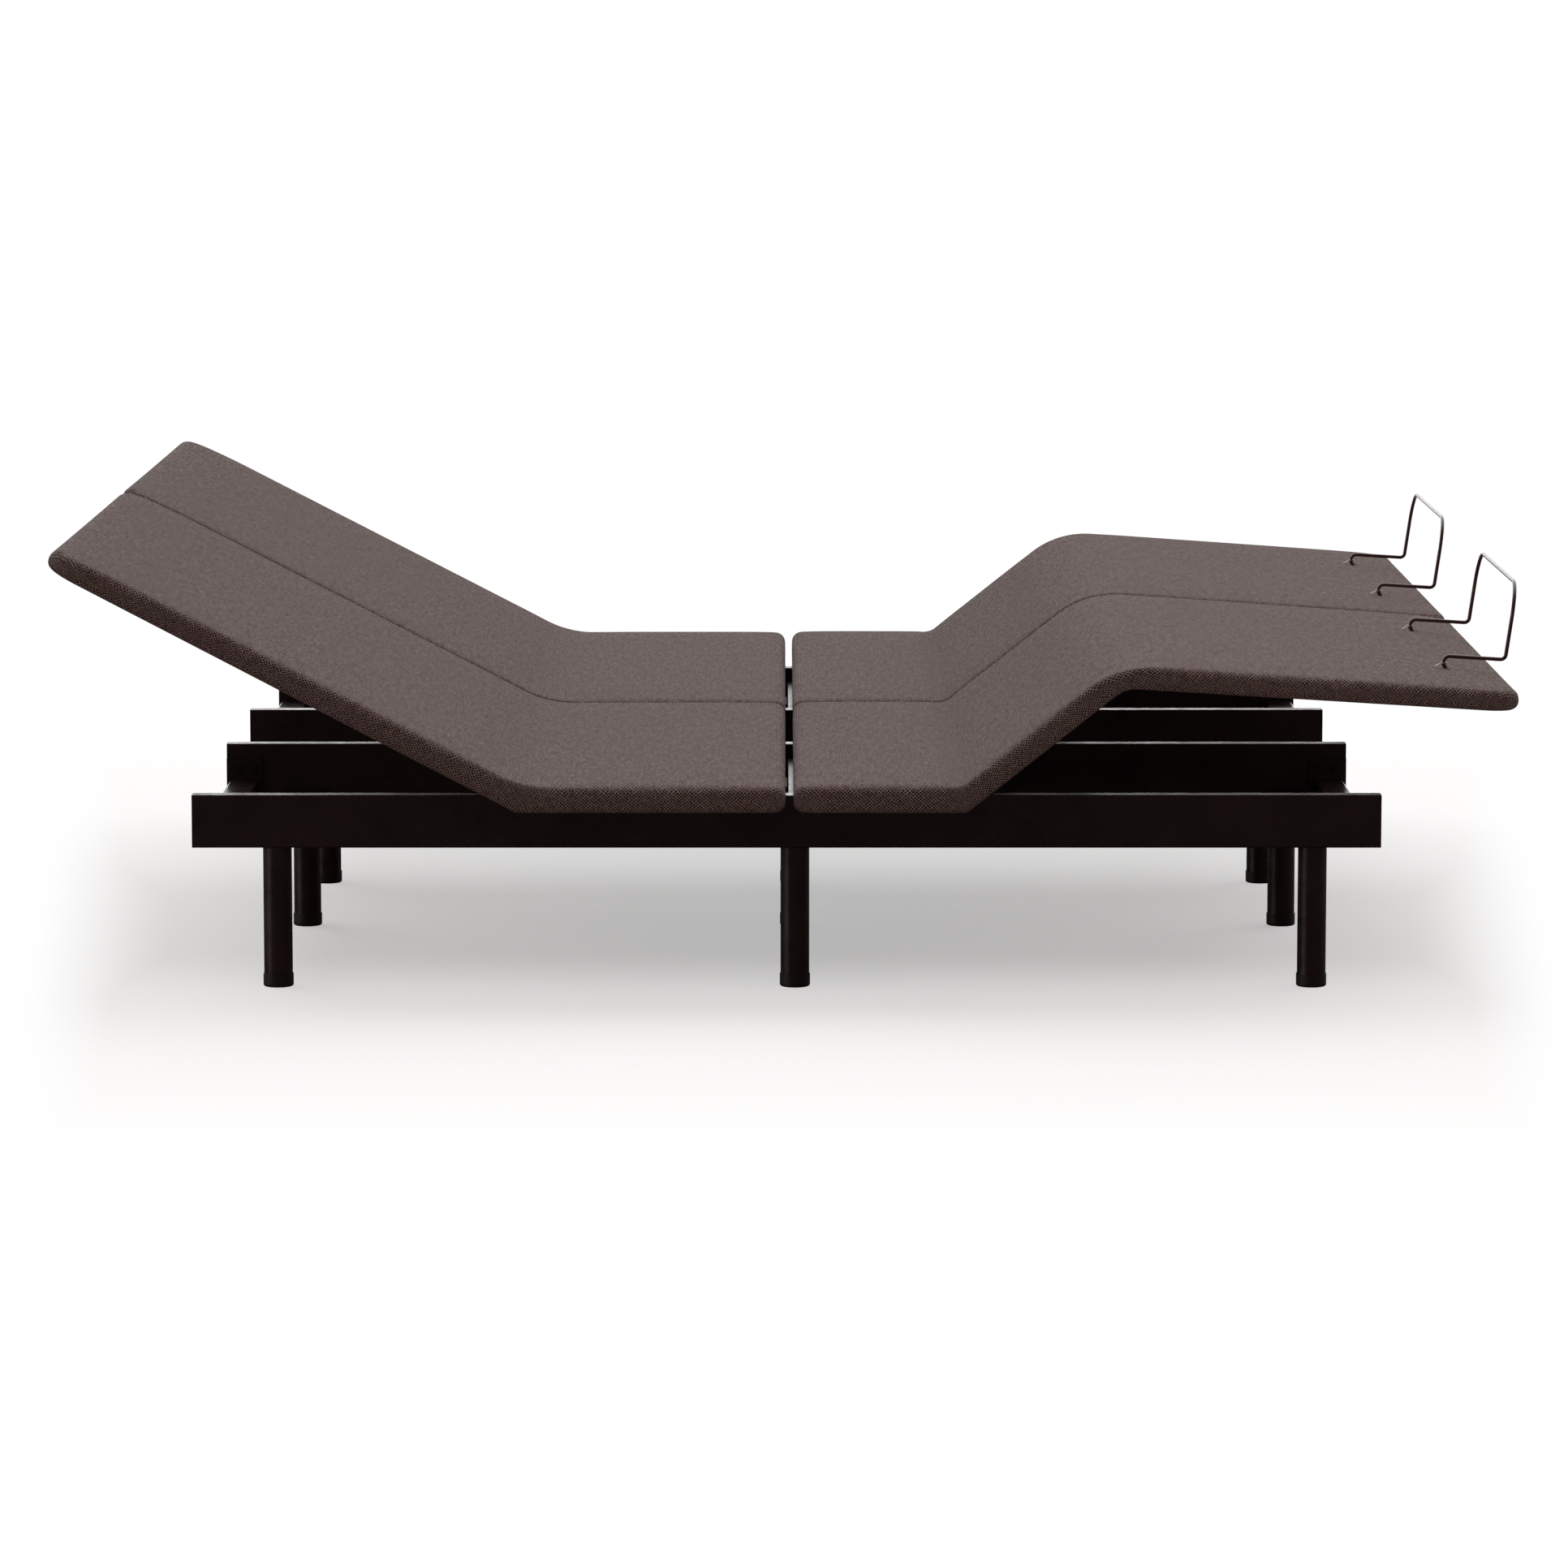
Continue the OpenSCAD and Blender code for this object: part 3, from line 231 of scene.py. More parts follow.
def foot_half(side):
    """From the middle gap over the rear seat and the thigh section to the foot section's tip."""
    hinge, turn = hinge_of(side, "thigh_lift")
    knee, knee_turn = hinge_of(side, "knee_fold")
    low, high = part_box(f"{side}_rear_seat_pad")
    s_hinge = hinge[0] - (low.x + SWELL_OUT)
    s_knee = s_hinge + float(np.linalg.norm(knee - hinge))
    slope = turn - knee_turn
    far = np.array([math.cos(slope), math.sin(slope)])
    length = s_knee + reach(f"{side}_foot_pad", knee, far) + NOSE
    seat_t = high.z - low.z - SWELL_ROOM
    folds = [{"hinge": hinge, "s": s_hinge, "turn": turn, **THIGH_FOLD},
             {"hinge": knee, "s": s_knee, "turn": -knee_turn, **KNEE_FOLD}]
    knots = [(0, seat_t), (s_hinge - THIGH_CHANGE, seat_t), (s_hinge + THIGH_CHANGE, THIGH_T),
             (s_knee, THIGH_T), (length, FOOT_TIP_T)]
    return Half(side, 1.0, length, folds, knots)


# ---------- Shape of a cover ----------


def corner_arc(centre, radius, start, stop):
    """Points on an arc between two angles in degrees."""
    angles = np.radians(np.linspace(start, stop, CORNER_STEPS + 1))
    return centre + radius * np.stack([np.cos(angles), np.sin(angles)], 1)


def end_run(s, centre, radius, half_width, cells, first, last):
    """One end of an outline, at s: half a corner, the straight end and half a corner."""
    straight = half_width - radius
    across = np.linspace(-1, 1, cells + 1)
    return np.concatenate([
        corner_arc((centre, -straight), radius, *first)[:-1],
        np.stack([np.full(len(across), s), across * straight], 1),
        corner_arc((centre, straight), radius, *last)[1:],
    ])


def outline(half, side_in, end_in):
    """The deck half's plan outline (s, y), moved in by side_in at the long sides and by end_in
    at the ends, as four runs of points that share their ends at the middle of each corner."""
    inset = max(side_in, end_in)
    r0 = max(INNER_CORNER_R - inset, LEAST_CORNER_R)
    r1 = max(OUTER_CORNER_R - inset, LEAST_CORNER_R)
    s0 = end_in
    s1 = half.length - end_in
    width = half.half_width - side_in
    low = s0 + r0
    high = s1 - r1
    straight = half.stations * (high - low) / half.stations[-1] + low
    plus_y = np.concatenate([
        corner_arc((low, width - r0), r0, 135, 90)[:-1],
        np.stack([straight, np.full(len(straight), width)], 1),
        corner_arc((high, width - r1), r1, 90, 45)[1:],
    ])
    minus_y = plus_y * (1, -1)
    end0 = end_run(s0, low, r0, width, half.cells_across, (225, 180), (180, 135))
    end1 = end_run(s1, high, r1, width, half.cells_across, (315, 360), (0, 45))
    return minus_y, plus_y, end0, end1


def patch(minus_y, plus_y, end0, end1):
    """Grid of points between four border runs (rows along s, columns across)."""
    u = np.linspace(0, 1, len(end0))[None, :, None]
    v = np.linspace(0, 1, len(minus_y))[:, None, None]
    ruled = (1 - u) * minus_y[:, None] + u * plus_y[:, None]
    ends = (1 - v) * end0[None] + v * end1[None]
    corners = ((1 - v) * ((1 - u) * end0[0] + u * end0[-1])
               + v * ((1 - u) * end1[0] + u * end1[-1]))
    return ruled + ends - corners


def ring_order(minus_y, plus_y, end0, end1):
    """The four runs as one closed loop without repeated points."""
    return np.concatenate([minus_y, end1[1:], plus_y[::-1][1:], end0[::-1][1:-1]])


def grid_quads(index, flipped=False):
    """Quads between neighbours in a grid of point indices."""
    corners = [index[:-1, :-1], index[1:, :-1], index[1:, 1:], index[:-1, 1:]]
    if flipped:
        corners = [corners[k] for k in (0, 3, 2, 1)]
    return np.stack(corners, -1).reshape(-1, 4)


def edge_profile(end_share):
    """Steps from the top's border round the edge to the closing face. end_share holds places
    that face a side (0), an end (1) or between. Each step is (inset, height above the boards'
    underside, share of the thickness in that height, how far it bends as the boards do)."""
    top_r = SIDE_TOP_R + (END_TOP_R - SIDE_TOP_R) * end_share
    bottom_r = SIDE_BOTTOM_R + (END_BOTTOM_R - SIDE_BOTTOM_R) * end_share
    level = 0 * end_share
    steps = []
    for k in range(1, ARC_STEPS + 1):
        a = math.pi / 2 * k / ARC_STEPS
        steps.append((top_r * (1 - math.sin(a)), -top_r * (1 - math.cos(a)), 1.0, 0.0))
    for k in range(1, SIDE_STEPS + 1):
        t = k / SIDE_STEPS
        steps.append((level, -top_r * (1 - t) + bottom_r * t, 1 - t, 0.0))
    for k in range(1, ARC_STEPS + 1):
        a = math.pi / 2 * k / ARC_STEPS
        h = (bottom_r + HEM_T) * (1 - math.sin(a)) - HEM_T
        steps.append((bottom_r * (1 - math.cos(a)), h, 0.0, smooth(a / (math.pi / 2))))
    for k in HEM_STEPS:
        steps.append((bottom_r + HEM_W * k, level - HEM_T, 0.0, 1.0))
    steps.append((bottom_r + HEM_W, level + POCKET_H, 0.0, 1.0))
    return steps


class Shell:
    """A cover as it is put together: points in its deck half's flat coordinates, and quads."""

    def __init__(self):
        self.runs = []
        self.quads = []
        self.count = 0

    def add(self, flat, h, board, cloth):
        """Takes a run of points: flat places (s, y), heights, how far they bend as the boards
        do, and the cloth's own coordinates. Gives their indices."""
        size = len(flat)
        heights = np.broadcast_to(h, size)
        boards = np.full(size, board)
        self.runs.append(np.column_stack([flat, heights, boards, cloth]))
        self.count += size
        return np.arange(self.count - size, self.count)

    def add_level(self, flat, h, board):
        """A run on the cover's top or underside, where the cloth's coordinates are the plan's."""
        return self.add(flat, h, board, np.pad(flat, ((0, 0), (0, 1))))

    def add_edge(self, half, border, loop):
        """Goes on from the loop at the top's border round the edge and under it, and gives the
        last loop. The weave runs on over the edge by the distance travelled down the side."""
        start = ring_order(*border)
        out = ring_order(*outline(half, 0.0, 0.0)) - ring_order(*outline(half, MM, MM))
        out /= np.linalg.norm(out, axis=1)[:, None]
        side_and_end = edge_profile(np.array([0.0, 1.0]))
        all_round = edge_profile(out[:, 0] ** 2)
        travelled = 0.0
        last_inset = SIDE_TOP_R
        last_height = WEAVE_EDGE_T
        for (insets, rises, share, board), (_, rise, _, _) in zip(side_and_end, all_round):
            ring = ring_order(*outline(half, *insets))
            height = rises[0] + share * WEAVE_EDGE_T
            travelled += math.hypot(insets[0] - last_inset, height - last_height)
            last_inset = insets[0]
            last_height = height
            h = rise + share * (half.thickness(ring[:, 0]) - EDGE_DROOP)
            cloth = np.column_stack([start + out * travelled, np.full(len(ring), travelled)])
            below = self.add(ring, h, board, cloth)
            self.quads.append(
                np.stack([below, np.roll(below, -1), np.roll(loop, -1), loop], 1))
            loop = below
        return loop


def build_cover(half):
    """Arrays of the closed cover: points, quads, the cloth's own flat coordinates, and which
    points are held by the boards."""
    shell = Shell()
    border = outline(half, SIDE_TOP_R, END_TOP_R)
    plan = patch(*border)
    rows, columns = plan.shape[:2]
    flat = plan.reshape(-1, 2)
    top = shell.add_level(flat, half.thickness(flat[:, 0]) - half.droop(flat), 0.0)
    top = top.reshape(rows, columns)
    shell.quads.append(grid_quads(top))
    rim = ring_order(top[:, 0], top[:, -1], top[0], top[-1])
    loop = shell.add_edge(half, border, rim)
    inner = outline(half, SIDE_BOTTOM_R + HEM_W, END_BOTTOM_R + HEM_W)
    flat = patch(*inner)[1:-1, 1:-1].reshape(-1, 2)
    # The top's indices count its cells from 0, so its rim also says which cells the loop takes
    closing = np.zeros(rows * columns, int)
    closing[rim] = loop
    closing = closing.reshape(rows, columns)
    closing[1:-1, 1:-1] = shell.add_level(flat, POCKET_H, 1.0).reshape(rows - 2, columns - 2)
    shell.quads.append(grid_quads(closing, flipped=True))
    points = np.concatenate(shell.runs)
    s, y, h, board = points[:, :4].T
    share = board[:, None]
    xz = (1 - share) * half.bent(s, h, "drape_r") + share * half.bent(s, h, "board_r")
    quads = np.concatenate(shell.quads)
    if half.outward < 0:
        quads = quads[:, ::-1]
    placed = np.stack([xz[:, 0], half.y_middle + y, xz[:, 1]], 1)
    return placed, quads, points[:, 4:], board > 0


# ---------- Mesh objects ----------


def mesh_object(name, points, faces, smooth_shading=True):
    """A new object in the scene from points and faces."""
    mesh = bpy.data.meshes.new(name)
    mesh.from_pydata([tuple(p) for p in points], [], [tuple(int(i) for i in f) for f in faces])
    mesh.validate()
    mesh.update()
    if smooth_shading:
        mesh.polygons.foreach_set("use_smooth", [True] * len(mesh.polygons))
    made = bpy.data.objects.new(name, mesh)
    bpy.context.scene.collection.objects.link(made)
    return made


def press_out(cover, held):
    """Cloth simulation of the foam pressing the cover out while its underside stays stapled down.
    How far the cloth may move is capped, and its result is written into the mesh."""
    scene = bpy.context.scene
    before = coordinates(cover.data)
    group = cover.vertex_groups.new(name="held")
    group.add([int(k) for k in np.flatnonzero(held)], 1.0, "REPLACE")
    cloth = cover.modifiers.new("cloth", "CLOTH")
    cloth.settings.vertex_group_mass = group.name
    for name, value in CLOTH_SETTINGS.items():
        setattr(cloth.settings, name, value)
    cloth.settings.effector_weights.gravity = 0
    cloth.collision_settings.use_collision = False
    cloth.point_cache.frame_start = 1
    cloth.point_cache.frame_end = SIM_FRAMES
    for step in range(1, SIM_FRAMES + 1):
        scene.frame_set(step)
    swollen = cover.evaluated_get(bpy.context.evaluated_depsgraph_get()).data
    moved = coordinates(swollen) - before
    cap = np.array([SWELL_OUT, SWELL_OUT, SWELL_UP])
    after = before + cap * np.tanh(moved / cap)
    cover.modifiers.remove(cloth)
    cover.vertex_groups.remove(group)
    scene.frame_set(1)
    cover.data.vertices.foreach_set("co", after.ravel())
    cover.data.update()


def cover_object(name, half):
    points, quads, cloth, held = build_cover(half)
    made = mesh_object(name, points, quads)
    layer = made.data.attributes.new("cloth", "FLOAT_VECTOR", "POINT")
    layer.data.foreach_set("vector", cloth.astype(np.float32).ravel())
    made.data.materials.append(TWEED)
    press_out(made, held)
    return made


def cut_cover(cover, name, place, normal, keep_outer):
    """Copy of a cover with one side of a plane cut away and closed with a flat inner face."""
    made = cover.copy()
    made.data = cover.data.copy()
    made.name = made.data.name = name
    bpy.context.scene.collection.objects.link(made)
    work = bmesh.new()
    work.from_mesh(made.data)
    everything = work.verts[:] + work.edges[:] + work.faces[:]
    cut = bmesh.ops.bisect_plane(
        work, geom=everything, plane_co=place, plane_no=normal,
        clear_inner=keep_outer, clear_outer=not keep_outer)
    rim = [part for part in cut["geom_cut"] if isinstance(part, bmesh.types.BMEdge)]
    for edge in rim:
        edge.smooth = False
    closed = bmesh.ops.holes_fill(work, edges=rim, sides=0)
    for face in closed["faces"]:
        face.smooth = False
    bmesh.ops.recalc_face_normals(work, faces=work.faces[:])
    work.to_mesh(made.data)
    work.free()
    return made


# ---------- Shader nodes ----------

# Where most of a noise's values lie
NOISE_RANGE = (0.3, 0.7)


def new_material(name):
    """A material, its node tree and its Principled shader."""
    made = bpy.data.materials.new(name)
    made.use_nodes = True
    tree = made.node_tree
    return made, tree, tree.nodes["Principled BSDF"]


def feed(tree, socket, value):
    """Sets a socket to a value, or links it to another node's output."""
    if isinstance(value, bpy.types.NodeSocket):
        tree.links.new(value, socket)
    else:
        socket.default_value = value


def feed_all(tree, made, inputs):
    for key, value in inputs.items():
        feed(tree, made.inputs[key], value)


def node(tree, kind, inputs=None, **settings):
    """A shader node with its settings, and inputs that are values or links."""
    made = tree.nodes.new(kind)
    for key, value in settings.items():
        setattr(made, key, value)
    feed_all(tree, made, inputs or {})
    return made


def math_node(tree, operation, *values):
    made = node(tree, "ShaderNodeMath", dict(enumerate(values)), operation=operation)
    return made.outputs[0]


def mix_colour(tree, factor, a, b, blend="MIX"):
    made = node(tree, "ShaderNodeMix", data_type="RGBA", blend_type=blend)
    for key, value in (("Factor", factor), ("A", a), ("B", b)):
        feed(tree, next(s for s in made.inputs if s.name == key and s.enabled), value)
    return next(s for s in made.outputs if s.enabled)


def mix_shader(tree, factor, first, second):
    """The first shader where the factor is 0, and the second where it is 1."""
    return node(tree, "ShaderNodeMixShader", {
        "Fac": factor, 1: first.outputs[0], 2: second.outputs[0]})


def object_place(tree):
    return node(tree, "ShaderNodeTexCoord").outputs["Object"]


def scaled(tree, vector, scale):
    """The vector with its own scale along each axis, to stretch the texture that it places."""
    return node(tree, "ShaderNodeMapping", {"Vector": vector, "Scale": scale}).outputs["Vector"]


def noise(tree, vector, scale=1.0, detail=2.0, roughness=0.5):
    made = node(tree, "ShaderNodeTexNoise", {
        "Vector": vector, "Scale": scale, "Detail": detail, "Roughness": roughness})
    return made.outputs["Fac"]


def spread(tree, value, source, target, interpolation="LINEAR"):
    """A value between the two of source, spread between the two of target and kept there."""
    made = node(tree, "ShaderNodeMapRange", {
        "Value": value, "From Min": source[0], "From Max": source[1],
        "To Min": target[0], "To Max": target[1]}, interpolation_type=interpolation)
    return made.outputs["Result"]


def toned(tree, value, dark, light, source=NOISE_RANGE):
    """From dark to light as a value goes through the range of source."""
    return mix_colour(tree, spread(tree, value, source, (0, 1)), dark, light)


def relief(tree, height, strength, depth):
    """A normal that shows the height as relief."""
    made = node(tree, "ShaderNodeBump", {
        "Height": height, "Strength": strength, "Distance": depth})
    return made.outputs["Normal"]


def times(colour, factor):
    """A colour made darker or lighter, with its alpha added."""
    return tuple(min(part * factor, 1) for part in colour) + (1,)


# ---------- Materials ----------

# Cloth colours: the yarn's own, and tints that multiply it
DARK_YARN = (0.136, 0.1013, 0.0962, 1)
LIGHT_YARN = (0.318, 0.252, 0.2465, 1)
REDDER = (1.03, 0.985, 1.0, 1)
GREENER = (0.97, 1.015, 0.99, 1)

# Weave: the distance between neighbouring threads, the scale of the noise that puts them out of
# line, the difference in height over which one set goes under the other, the openness where the
# painted shade in the gaps between threads starts and where it is darkest, and the depth of its
# relief
THREAD = 3.45 * MM
WANDER_SCALE = 110.0
CROSSING = (-0.3, 0.3)
GAP_SHADE_OPENNESS = (0.06, 0.44)
WEAVE_DEPTH = 1.2 * MM

# Noise scales along a thread and across it, and of the cloth's clouds, flecks and fuzz; the range
# of the clouds, the darkest and lightest flecks, and the fuzz's share of the relief
SLUB_SCALE = 70.0
FIBRE_SCALE = 500.0
CLOUD_SCALE = 11.0
FLECK_SCALE = (210.0, 26.0, 190.0)
FUZZ_SCALE = 1500.0
CLOUD_RANGE = (0.35, 0.65)
FLECKS = (0.67, 1.33)
FUZZ_SHARE = 0.3


def weave(tree, place):
    """Two sets of threads on the bias, a little out of line. Gives the coordinates along the
    threads, how open the cloth is, and where the first set lies on top of the second."""
    bias = node(tree, "ShaderNodeMapping", {"Vector": place, "Rotation": (0, 0, math.pi / 4)})
    wander = node(tree, "ShaderNodeTexNoise", {
        "Vector": place, "Scale": WANDER_SCALE, "Detail": 1.0})
    pushed = node(tree, "ShaderNodeVectorMath", {
        0: wander.outputs["Color"], 1: (THREAD, THREAD, 0)}, operation="MULTIPLY")
    laid = node(tree, "ShaderNodeVectorMath", {
        0: bias.outputs["Vector"], 1: pushed.outputs["Vector"]}, operation="ADD")
    apart = node(tree, "ShaderNodeSeparateXYZ", {"Vector": laid.outputs["Vector"]})
    ridges = []
    for axis in ("X", "Y"):
        angle = math_node(tree, "MULTIPLY", apart.outputs[axis], math.pi / THREAD)
        wave = math_node(tree, "COSINE", angle)
        ridges.append(math_node(tree, "MULTIPLY", wave, wave))
    gaps = [math_node(tree, "SUBTRACT", 1.0, ridge) for ridge in ridges]
    hole = math_node(tree, "MULTIPLY", *gaps)
    upper = spread(tree, math_node(tree, "SUBTRACT", *ridges), CROSSING, (0.0, 1.0))
    return laid.outputs["Vector"], hole, upper


def tweed_material():
    """Open weave of heathered yarns laid on the bias, with painted shade in the gaps between
    threads, drawn on the cloth's own flat coordinates.
    """
    made, tree, shader = new_material("tweed")
    place = node(tree, "ShaderNodeAttribute", attribute_name="cloth").outputs["Vector"]
    laid, hole, upper = weave(tree, place)
    yarns = []
    for scale in ((FIBRE_SCALE, SLUB_SCALE, 1.0), (SLUB_SCALE, FIBRE_SCALE, 1.0)):
        slub = noise(tree, scaled(tree, laid, scale))
        yarns.append(toned(tree, slub, DARK_YARN, LIGHT_YARN))
    yarn = mix_colour(tree, upper, yarns[1], yarns[0])
    cloud = noise(tree, place, scale=CLOUD_SCALE, detail=3.0, roughness=0.6)
    tint = toned(tree, cloud, REDDER, GREENER, source=CLOUD_RANGE)
    tinted = mix_colour(tree, 1.0, yarn, tint, "MULTIPLY")
    flecks = noise(tree, scaled(tree, place, FLECK_SCALE), detail=3.0, roughness=0.75)
    mottle = spread(tree, flecks, NOISE_RANGE, FLECKS)
    # Painted shade: the gaps between the threads darken towards black the more open they are
    painted_gap_shade = spread(tree, hole, GAP_SHADE_OPENNESS, (1.0, 0.0))
    # The flecks' own tone and the painted gap shade together multiply the yarn's colour
    light = math_node(tree, "MULTIPLY", mottle, painted_gap_shade)
    shade = node(tree, "ShaderNodeCombineColor", {"Red": light, "Green": light, "Blue": light})
    coloured = mix_colour(tree, 1.0, tinted, shade.outputs["Color"], "MULTIPLY")
    fuzz = math_node(tree, "MULTIPLY", noise(tree, place, scale=FUZZ_SCALE), FUZZ_SHARE)
    height = math_node(tree, "ADD", math_node(tree, "SUBTRACT", 1.0, hole), fuzz)
    feed_all(tree, shader, {
        "Base Color": coloured, "Normal": relief(tree, height, 1.0, WEAVE_DEPTH),
        "Roughness": 0.92, "Specular IOR Level": 0.12, "Sheen Weight": 0.05,
        "Sheen Roughness": 0.5})
    return made


def paint_material(name, colour, roughness, specular, orange_peel):
    """Powder coat or blackened plating: fine orange peel, faint colour change and dusty wear."""
    made, tree, shader = new_material(name)
    place = object_place(tree)
    cloud = noise(tree, place, scale=14.0, detail=4.0, roughness=0.6)
    wear = noise(tree, place, scale=45.0, detail=3.0)
    peel = noise(tree, place, scale=900.0)
    feed_all(tree, shader, {
        "Base Color": toned(tree, cloud, times(colour, 0.75), times(colour, 1.3)),
        "Roughness": spread(tree, wear, NOISE_RANGE, (roughness * 0.85, roughness * 1.15)),
        "Normal": relief(tree, peel, orange_peel, 0.1 * MM), "Specular IOR Level": specular})
    return made


def metal_material(name, colour, roughness, streak_scale):
    """Bare or plated steel with a fine brushed streak and uneven brightness."""
    made, tree, shader = new_material(name)
    place = object_place(tree)
    grain = noise(tree, scaled(tree, place, streak_scale), detail=3.0)
    wear = noise(tree, place, scale=60.0, detail=3.0)
    feed_all(tree, shader, {
        "Base Color": toned(tree, grain, times(colour, 0.8), times(colour, 1.12)),
        "Roughness": spread(tree, wear, NOISE_RANGE, (roughness * 0.8, roughness * 1.25)),
        "Normal": relief(tree, grain, 0.12, 0.05 * MM), "Metallic": 1.0})
    return made


def plywood_material():
    """Birch plywood face with long grain, and a few darker figures."""
    made, tree, shader = new_material("birch_plywood")
    place = object_place(tree)
    figure = node(tree, "ShaderNodeTexWave", {
        "Vector": scaled(tree, place, (2.0, 26.0, 26.0)), "Scale": 1.2, "Distortion": 5.0,
        "Detail": 3.0, "Detail Scale": 1.5}, bands_direction="Y").outputs["Fac"]
    cloud = spread(tree, noise(tree, place, scale=3.0), NOISE_RANGE, (0, 0.35))
    pores = noise(tree, scaled(tree, place, (30.0, 900.0, 900.0)))
    grained = mix_colour(tree, figure, (0.46, 0.31, 0.17, 1), (0.62, 0.46, 0.28, 1))
    clouded = mix_colour(tree, cloud, grained, (0.50, 0.37, 0.22, 1))
    dark_pores = spread(tree, pores, (0.35, 0.65), (0.25, 0))
    feed_all(tree, shader, {
        "Base Color": mix_colour(tree, dark_pores, clouded, (0.26, 0.16, 0.08, 1)),
        "Normal": relief(tree, pores, 0.25, 0.15 * MM), "Roughness": 0.62,
        "Specular IOR Level": 0.3})
    return made


def plastic_material():
    """Moulded black plastic with a fine leather-like grain."""
    made, tree, shader = new_material("moulded_plastic")
    place = object_place(tree)
    grain = node(tree, "ShaderNodeTexVoronoi", {"Vector": place, "Scale": 700.0})
    cloud = noise(tree, place, scale=22.0, detail=3.0)
    feed_all(tree, shader, {
        "Base Color": toned(tree, cloud, (0.014, 0.013, 0.013, 1), (0.024, 0.023, 0.023, 1)),
        "Normal": relief(tree, grain.outputs["Distance"], 0.3, 0.12 * MM), "Roughness": 0.5,
        "Specular IOR Level": 0.25})
    return made


TWEED = tweed_material()
FRAME_PAINT = paint_material(
    "frame_powder_coat", (0.024, 0.0140, 0.0135), roughness=0.30, specular=0.50, orange_peel=0.05)
LIFT_PAINT = paint_material(
    "lift_powder_coat", (0.012, 0.0095, 0.009), roughness=0.50, specular=0.15, orange_peel=0.15)
BRONZE = paint_material(
    "bronze_coat", (0.050, 0.020, 0.013), roughness=0.30, specular=0.45, orange_peel=0.08)
ZINC = metal_material(
    "zinc_plate", (0.56, 0.56, 0.57), roughness=0.34, streak_scale=(300.0, 300.0, 60.0))
BLACK_ZINC = paint_material(
    "black_zinc", (0.016, 0.0155, 0.0150), roughness=0.35, specular=0.35, orange_peel=0.05)
CLIP_METAL = metal_material(
    "clip_steel", (0.40, 0.34, 0.32), roughness=0.45, streak_scale=(500.0, 60.0, 500.0))
PLYWOOD = plywood_material()
PLASTIC = plastic_material()

# The material of each CAD node that stays in sight
NODE_MATERIALS = {
    "outer_rail": FRAME_PAINT, "inner_rail": FRAME_PAINT, "head_cross_tube": FRAME_PAINT,
    "middle_cross_tube": FRAME_PAINT, "foot_cross_tube": FRAME_PAINT, "legs": FRAME_PAINT,
    "leg_glides": PLASTIC, "hinge_pins": ZINC, "frame_bolts": BLACK_ZINC, "control_box": PLASTIC,
    "front_seat_board": PLYWOOD, "rear_seat_board": PLYWOOD, "head_board": PLYWOOD,
    "thigh_board": PLYWOOD, "foot_board": PLYWOOD, "head_lift_frame": LIFT_PAINT,
    "thigh_lift_frame": LIFT_PAINT, "head_actuator": PLASTIC, "leg_actuator": PLASTIC,
    "head_actuator_rod": ZINC, "leg_actuator_rod": ZINC, "foot_brackets": LIFT_PAINT,
    "foot_link_bar": LIFT_PAINT, "retainer_bar": BRONZE, "retainer_clips": CLIP_METAL,
}


def dress_nodes():
    """Gives every CAD node that stays in sight its material."""
    for side in SIDES:
        for piece, material in NODE_MATERIALS.items():
            mesh = frame["nodes"][f"{side}_{piece}"].data
            mesh.materials.clear()
            mesh.materials.append(material)


# ---------- Covers ----------


def finish_cover(cover, replaced):
    """Bakes a cover's place into its points and hides the pads that it stands for."""
    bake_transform(cover)
    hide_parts(*replaced)


def make_covers(side):
    """A unit's covers: head and front seat, rear seat and lower thigh, upper thigh and foot.
    The last two are one cover cut across the middle of the thigh section, because a cover
    joins only two bodies."""
    head = head_half(side)
    cover = cover_object(f"{side}_head_cover", head)
    finish_cover(cover,
                 (f"{side}_front_seat_pad", f"{side}_head_pad"))
    foot = foot_half(side)
    whole = cover_object(f"{side}_whole_cover", foot)
    hinge, knee = (fold["hinge"] for fold in foot.folds)
    middle = (hinge + knee) / 2
    along = (knee - hinge) / np.linalg.norm(knee - hinge)
    place, normal = ((x, 0, z) for x, z in (middle, along))
    seat_cover = cut_cover(whole, f"{side}_seat_cover", place, normal, keep_outer=False)
    leg_cover = cut_cover(whole, f"{side}_leg_cover", place, normal, keep_outer=True)
    bpy.data.objects.remove(whole)
    finish_cover(seat_cover,
                 (f"{side}_rear_seat_pad",))
    finish_cover(leg_cover,
                 (f"{side}_thigh_pad", f"{side}_foot_pad"))


# ---------- Floor ----------

WHITE = (1, 1, 1, 1)
FLOOR_REACH = 40.0

# The floor as the camera sees it: its colour, and a glow that keeps the shadow light
FLOOR_COLOUR = (0.598, 0.622, 0.632, 1)
FLOOR_GLOW = 0.44

# The light that it throws up on the object, and what gloss shows of it: near and far, and the
# distances behind the origin between which that changes
BOUNCE_COLOUR = (0.30, 0.24, 0.22, 1)
GLOSS_NEAR = (0.06, 0.05, 0.05, 1)
GLOSS_FAR = (0.8, 0.8, 0.8, 1)
GLOSS_CHANGE = (0.8, 1.6)

# Painted light on the floor: plain white laid over the lit floor by place, which lightens the
# object's shadow under and around it and fades it out. Each rise has its start and end, as
# distances beside, behind or in front of the origin, and how far it goes. The one beside comes in
# by WHITE_LEAN for each metre towards the front. The white's strength is a little over full.
WHITE_BESIDE = ((0.88, 1.12, 1.0),)
WHITE_BEHIND = ((0.0, 0.5, 0.3), (1.2, 2.0, 1.0))
WHITE_IN_FRONT = ((0.45, 0.90, 0.32), (1.2, 2.2, 1.0))
WHITE_LEAN = 0.09
WHITE_STRENGTH = 1.01


